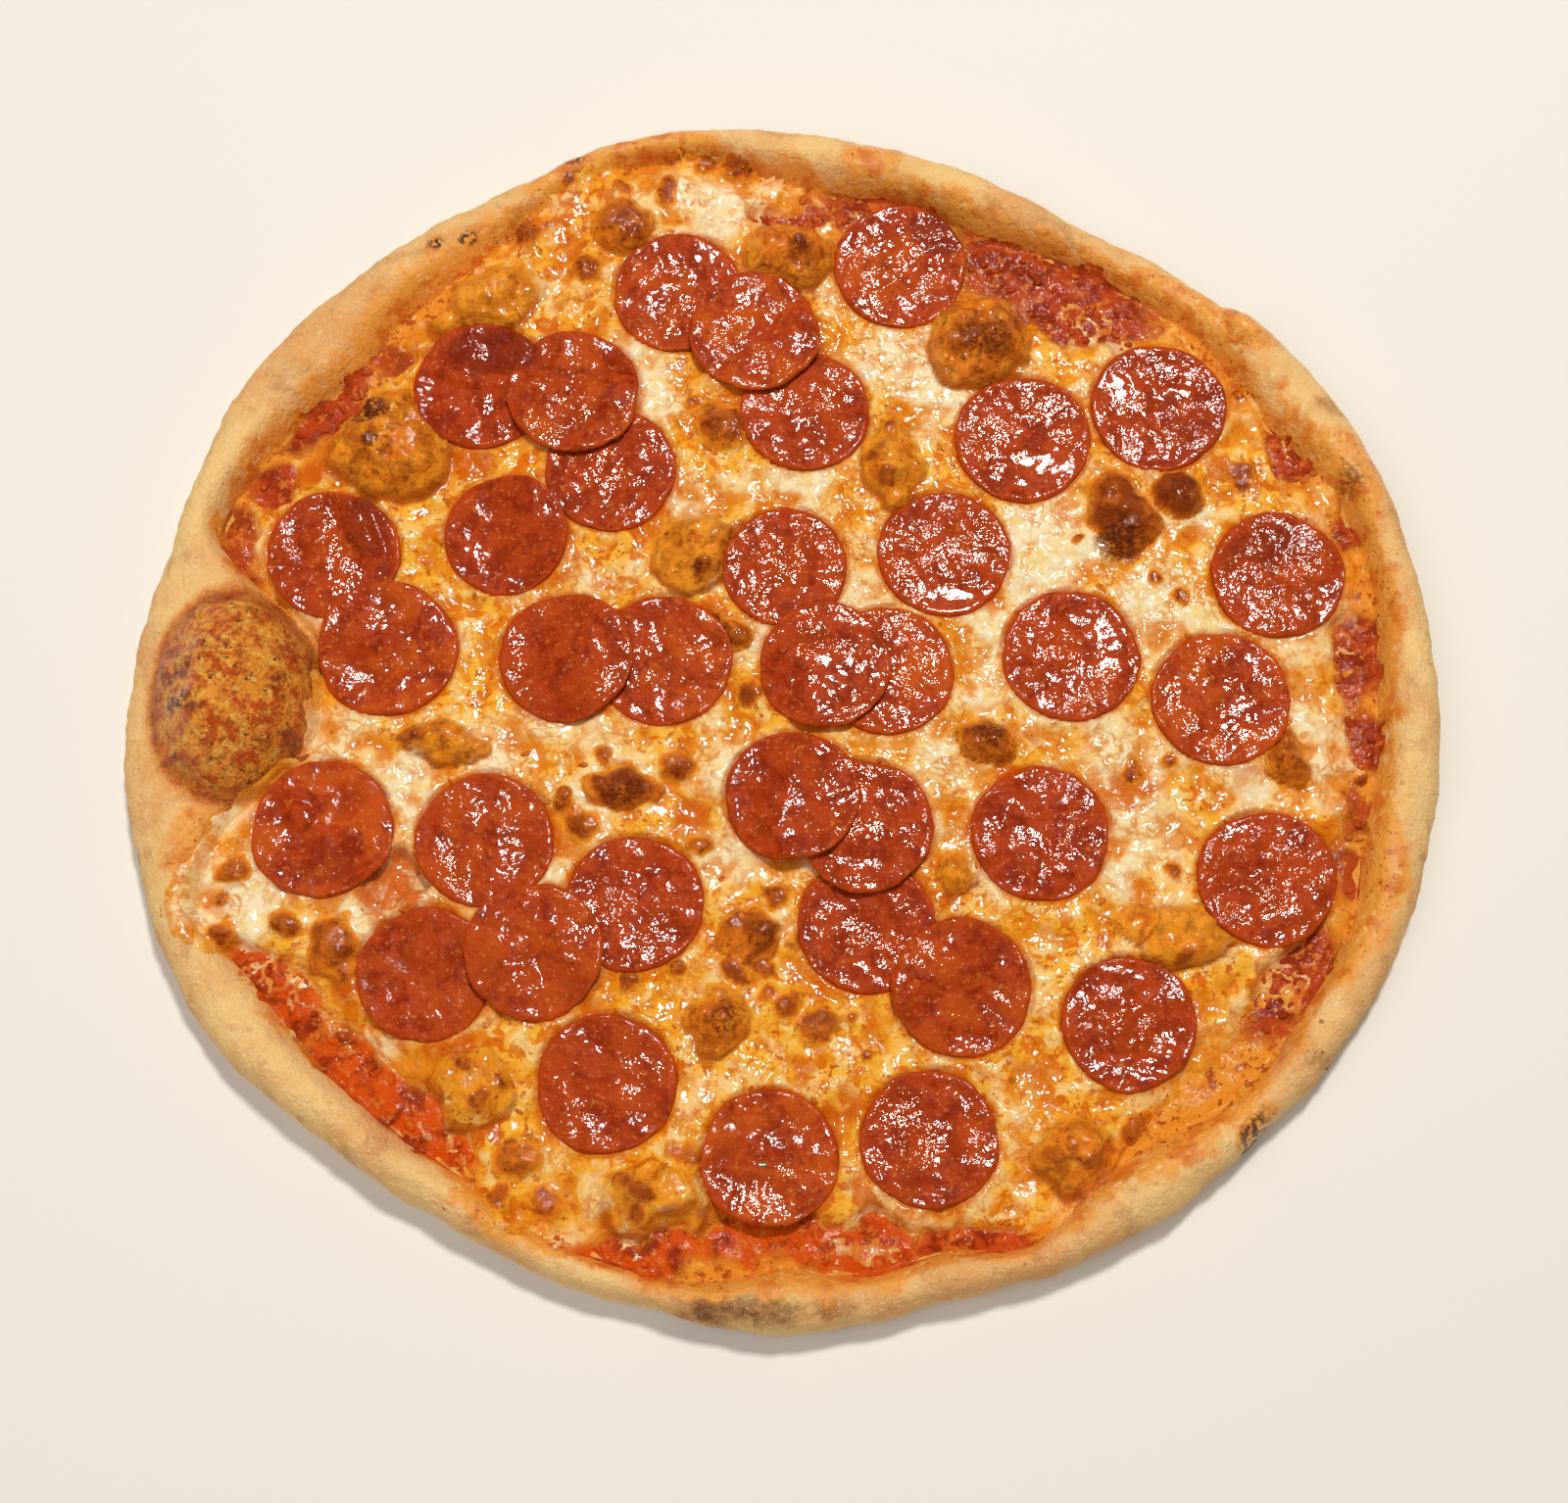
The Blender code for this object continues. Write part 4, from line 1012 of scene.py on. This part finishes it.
def makeCheeseMaterial():
    # Melted mozzarella under its own oil: creamy ridges, orange oil in the hollows, fried skin on bubbles
    material, tree, noise, (brown, char, rich, oil, red, fringe, calm, foot, hollow) = newMaterial(
        "meltedMozzarella", cheeseLook["noise"],
        ("brown", "char", "rich", "oil", "red", "fringe", "calm", "foot", "hollow"))
    skin = addNode(tree, "ShaderNodeMath", 0, {"operation": "MULTIPLY_ADD"}, _0=noise["patch"], _1=0.9,
                   _2=brown)
    golden = addNode(tree, "ShaderNodeMapRange", Value=rich, From_Min=0.1, From_Max=0.9)
    lace = addNode(tree, "ShaderNodeMath", 0, {"operation": "PINGPONG"}, _0=noise["lace"], _1=0.5)
    laced = addNode(tree, "ShaderNodeMapRange", Value=noise["wide"], From_Min=0.42, From_Max=0.58,
                    To_Max=0.8)
    cap = addNode(tree, "ShaderNodeMath", 0, {"operation": "MULTIPLY"}, _0=brown, _1=0.8)
    base = paint(tree, cheeseLook, "cream", [
        (rich, 0.1, 0.8, 1.0, "yellow"),
        (noise["wide"], 0.48, 0.58, golden, "gold"),
        (noise["middle"], 0.52, 0.58, golden, "pool"),
        (noise["creamy"], 0.5, 0.6, 0.8, "butter"),
        (hollow, 0.1, 0.9, 0.65, "hollow"),
        (lace, 0.4, 0.5, laced, "lace"),
        (noise["small"], 0.58, 0.65, golden, "skin"),
        (noise["middle"], 0.3, 0.5, oil, "oil"),
        (noise["middle"], 0.48, 0.58, red, "red"),
        (noise["middle"], 0.3, 0.5, fringe, "film"),
        (skin, 0.65, 0.78, 0.95, "fried"),
        (skin, 0.92, 1.08, 0.9, "amber"),
        (skin, 1.1, 1.28, 0.85, "tan"),
        (skin, 1.3, 1.42, 0.85, "crusted"),
        (noise["middle"], 0.46, 0.6, cap, "crusted"),
        # painted shade round the foot of each bubble, partly oil colour
        (foot, 0.15, 0.9, 0.8, "foot"),
        (noise["dots"], 0.53, 0.62, brown, "brown"),
        (noise["small"], 0.42, 0.5, char, "deep"),
        (noise["grain"], 0.47, 0.53, char, "burnt"),
    ])
    ragged = addNode(tree, "ShaderNodeMapRange", Value=noise["wide"], From_Min=0.38, From_Max=0.62,
                     To_Min=0.5)
    ragged = addNode(tree, "ShaderNodeMix", 0, None, _0=calm, _2=ragged, _3=0.1)
    pitted = addNode(tree, "ShaderNodeMapRange", Value=brown, To_Min=0.15, To_Max=1.0)
    normal = addNode(tree, "ShaderNodeBump", Height=noise["wet"], Distance=0.5 * mm)
    normal = addNode(tree, "ShaderNodeBump", Height=noise["dots"], Distance=0.8 * mm, Strength=pitted,
                     Normal=normal)
    shine = addNode(tree, "ShaderNodeBump", Height=noise["wet"], Distance=0.45 * mm, Strength=ragged)
    shine = addNode(tree, "ShaderNodeBump", Height=noise["dots"], Distance=0.45 * mm, Strength=brown,
                    Normal=shine)
    finishMaterial(tree, Base_Color=base, Roughness=0.4, Normal=normal, Specular_IOR_Level=0.12,
                   Coat_Weight=0.85, Coat_Roughness=0.04, Coat_Normal=shine,
                   Subsurface_Weight=0.1, Subsurface_Radius=(1.0, 0.6, 0.25), Subsurface_Scale=0.002)
    return material


salamiLook = {
    "noise": {"large": (9, 3, 0.6, 0.4), "middle": (4.5, 3, 0.6, 0), "grain": (1.2, 3, 0.6, 0),
              "wet": (1.0, 1.5, 0.5, 0.1), "speck": (2.1, 2, 0.5, 0)},
    "meat": "#b84012",
    "warm": "#cb5616",
    "dark": "#8a2203",
    "fat": "#dc8440",
    "rim": "#c04c14",
    "shade": "#701b06",
    "pepper": "#6a2208",
}


def makeSalamiMaterial():
    # Baked pork salami: fine minced meat with grains of fat, wet and glinting with its own fat
    material, tree, noise, (edge, tone, dark, lump, calm, matt) = newMaterial(
        "bakedSalami", salamiLook["noise"], ("edge", "tone", "dark", "lump", "calm", "matt"))
    base = paint(tree, salamiLook, "meat", [
        (noise["middle"], 0.42, 0.62, 0.8, "dark"),
        (noise["large"], 0.42, 0.62, tone, "warm"),
        # painted shade: darker in the hollows between the lumps
        (lump, 0.1, -0.7, 0.6, "dark"),
        (noise["grain"], 0.58, 0.68, 0.6, "fat"),
        (edge, 0.9, 1.0, 0.5, "rim"),
        (dark, 0.1, 0.9, 0.6, "shade"),
        (noise["speck"], 0.68, 0.74, 0.6, "pepper"),
    ])
    rough = addNode(tree, "ShaderNodeMapRange", Value=noise["large"], From_Min=0.35, From_Max=0.65,
                    To_Min=0.35, To_Max=0.6)
    ragged = addNode(tree, "ShaderNodeMapRange", Value=noise["large"], From_Min=0.4, From_Max=0.6,
                     To_Min=0.4)
    ragged = addNode(tree, "ShaderNodeMix", 0, None, _0=calm, _2=ragged, _3=0.1)
    wavy = addNode(tree, "ShaderNodeMapRange", Value=calm, To_Min=1.0, To_Max=0.1)
    normal = addNode(tree, "ShaderNodeBump", Height=noise["middle"], Distance=0.8 * mm)
    normal = addNode(tree, "ShaderNodeBump", Height=noise["grain"], Distance=0.25 * mm, Normal=normal)
    shine = addNode(tree, "ShaderNodeBump", Height=noise["middle"], Distance=0.26 * mm, Strength=wavy)
    shine = addNode(tree, "ShaderNodeBump", Height=noise["wet"], Distance=0.21 * mm, Strength=ragged,
                    Normal=shine)
    dry = addNode(tree, "ShaderNodeMapRange", Value=matt, To_Min=0.85, To_Max=0.08)
    finishMaterial(tree, Base_Color=base, Roughness=rough, Normal=normal, Specular_IOR_Level=0.1,
                   Coat_Weight=dry, Coat_Roughness=0.04, Coat_Normal=shine,
                   Subsurface_Weight=0.05, Subsurface_Radius=(1.0, 0.3, 0.15), Subsurface_Scale=0.0015)
    return material


# Small things strewn over a surface

def strewnTree(mark, paints):
    # Small round bits on a surface, thickest where its mark is strongest, with marks of their own for colour
    tree = bpy.data.node_groups.new("strewn", "GeometryNodeTree")
    tree.interface.new_socket("Geometry", in_out="INPUT", socket_type="NodeSocketGeometry")
    tree.interface.new_socket("Geometry", in_out="OUTPUT", socket_type="NodeSocketGeometry")
    kinds = {"Density": "Float", "Smallest": "Vector", "Largest": "Vector", "Seed": "Int",
             "Material": "Material"}
    for name, kind in kinds.items():
        tree.interface.new_socket(name, in_out="INPUT", socket_type="NodeSocket" + kind)
    given = addNode(tree, "NodeGroupInput").node.outputs
    strong = addNode(tree, "GeometryNodeInputNamedAttribute", "Attribute", {"data_type": "FLOAT"},
                     Name=mark)
    dense = addNode(tree, "ShaderNodeMath", 0, {"operation": "MULTIPLY"}, _0=strong, _1=given["Density"])
    points = addNode(tree, "GeometryNodeDistributePointsOnFaces", "Points", None, Mesh=given["Geometry"],
                     _4=dense, Seed=given["Seed"])
    tilt = points.node.outputs["Rotation"]
    for number, (name, low, high) in enumerate(paints):
        value = addNode(tree, "FunctionNodeRandomValue", 1, {"data_type": "FLOAT"}, _2=low, _3=high,
                        Seed=number)
        points = addNode(tree, "GeometryNodeStoreNamedAttribute", 0,
                         {"data_type": "FLOAT", "domain": "POINT"}, Geometry=points, Name=name, Value=value)
    bit = addNode(tree, "GeometryNodeMeshIcoSphere", "Mesh", None, Radius=mm, Subdivisions=2)
    spin = addNode(tree, "FunctionNodeRandomValue", 0, {"data_type": "FLOAT_VECTOR"}, _0=(0, 0, 0),
                   _1=(0, 0, turn))
    spun = addNode(tree, "FunctionNodeRotateRotation", 0, {"rotation_space": "LOCAL"}, _0=tilt, _1=spin)
    size = addNode(tree, "FunctionNodeRandomValue", 0, {"data_type": "FLOAT_VECTOR"},
                   _0=given["Smallest"], _1=given["Largest"])
    strewn = addNode(tree, "GeometryNodeInstanceOnPoints", 0, None, Points=points, Instance=bit,
                     Rotation=spun, Scale=size)
    real = addNode(tree, "GeometryNodeRealizeInstances", 0, None, Geometry=strewn)
    rounded = addNode(tree, "GeometryNodeSetShadeSmooth", 0, None, _0=real)
    painted = addNode(tree, "GeometryNodeSetMaterial", 0, None, Geometry=rounded,
                      Material=given["Material"])
    addNode(tree, "NodeGroupOutput", 0, None, Geometry=painted)
    return tree


strewing = {  # density for each square metre, smallest and largest half sizes in mm, and marks for colour
    "friedBlisters": {
        "mark": "frying", "density": 6000, "smallest": (0.4, 0.4, 0.15), "largest": (1.5, 1.2, 0.4),
        "seed": 11, "paints": [("brown", 0.3, 0.8), ("oil", 0.0, 1.0)]},
    "oilBeads": {
        "mark": "oil", "density": 16000, "smallest": (0.3, 0.3, 0.12), "largest": (1.1, 0.9, 0.35),
        "seed": 12, "paints": [("brown", 0.0, 0.2), ("oil", 0.6, 1.3), ("rich", 0.3, 1.0)]},
    "pulpBits": {
        "mark": "pulp", "density": 42000, "smallest": (0.7, 0.6, 0.4), "largest": (1.8, 1.4, 0.8),
        "seed": 13, "paints": []},
    "crustCrumbs": {
        "mark": "crumbs", "density": 9000, "smallest": (0.2, 0.2, 0.08), "largest": (0.9, 0.7, 0.3),
        "seed": 14, "paints": [("char", 0.0, 0.0), ("toast", 0.0, 1.0)]},
}


def strew(name, surface, material, slotName):
    look = strewing[name]
    obj = bpy.data.objects.new(name, surface.data.copy())
    bpy.context.scene.collection.objects.link(obj)
    modifier = obj.modifiers.new("strewn", "NODES")
    modifier.node_group = strewnTree(look["mark"], look["paints"])
    values = {"Density": float(look["density"]), "Smallest": look["smallest"], "Largest": look["largest"],
              "Seed": look["seed"], "Material": material}
    for item in modifier.node_group.interface.items_tree:
        if item.in_out == "INPUT" and item.name in values:
            modifier[item.identifier] = values[item.name]
    shown = bpy.data.meshes.new_from_object(obj.evaluated_get(bpy.context.evaluated_depsgraph_get()))
    obj.modifiers.remove(modifier)
    obj.data = shown
    print(name, len(shown.polygons), "faces")
    shown.materials.clear()
    finishPiece(obj, material, slotName)


surfaces = [  # each with its material, slot, node and the small things on it
    (makeCrust, makeDoughMaterial, "baked_dough", "crust", ["crustCrumbs"]),
    (makeSauce, makeSauceMaterial, "tomato_sauce", "tomato_sauce", ["pulpBits"]),
    (makeCheese, makeCheeseMaterial, "melted_cheese", "cheese", ["friedBlisters", "oilBeads"]),
]
for makeSurface, makeMaterial, slotName, node, bits in surfaces:
    surface, material = makeSurface(), makeMaterial()
    for bit in bits:
        strew(bit, surface, material, slotName)
    finishPiece(surface, material, slotName, node)
    print(node, "done")
salamiMaterial = makeSalamiMaterial()
for number in range(len(slices)):
    finishPiece(makeSlice(number), salamiMaterial, "salami", f"salami_{number + 1:02d}")
print("slices done")
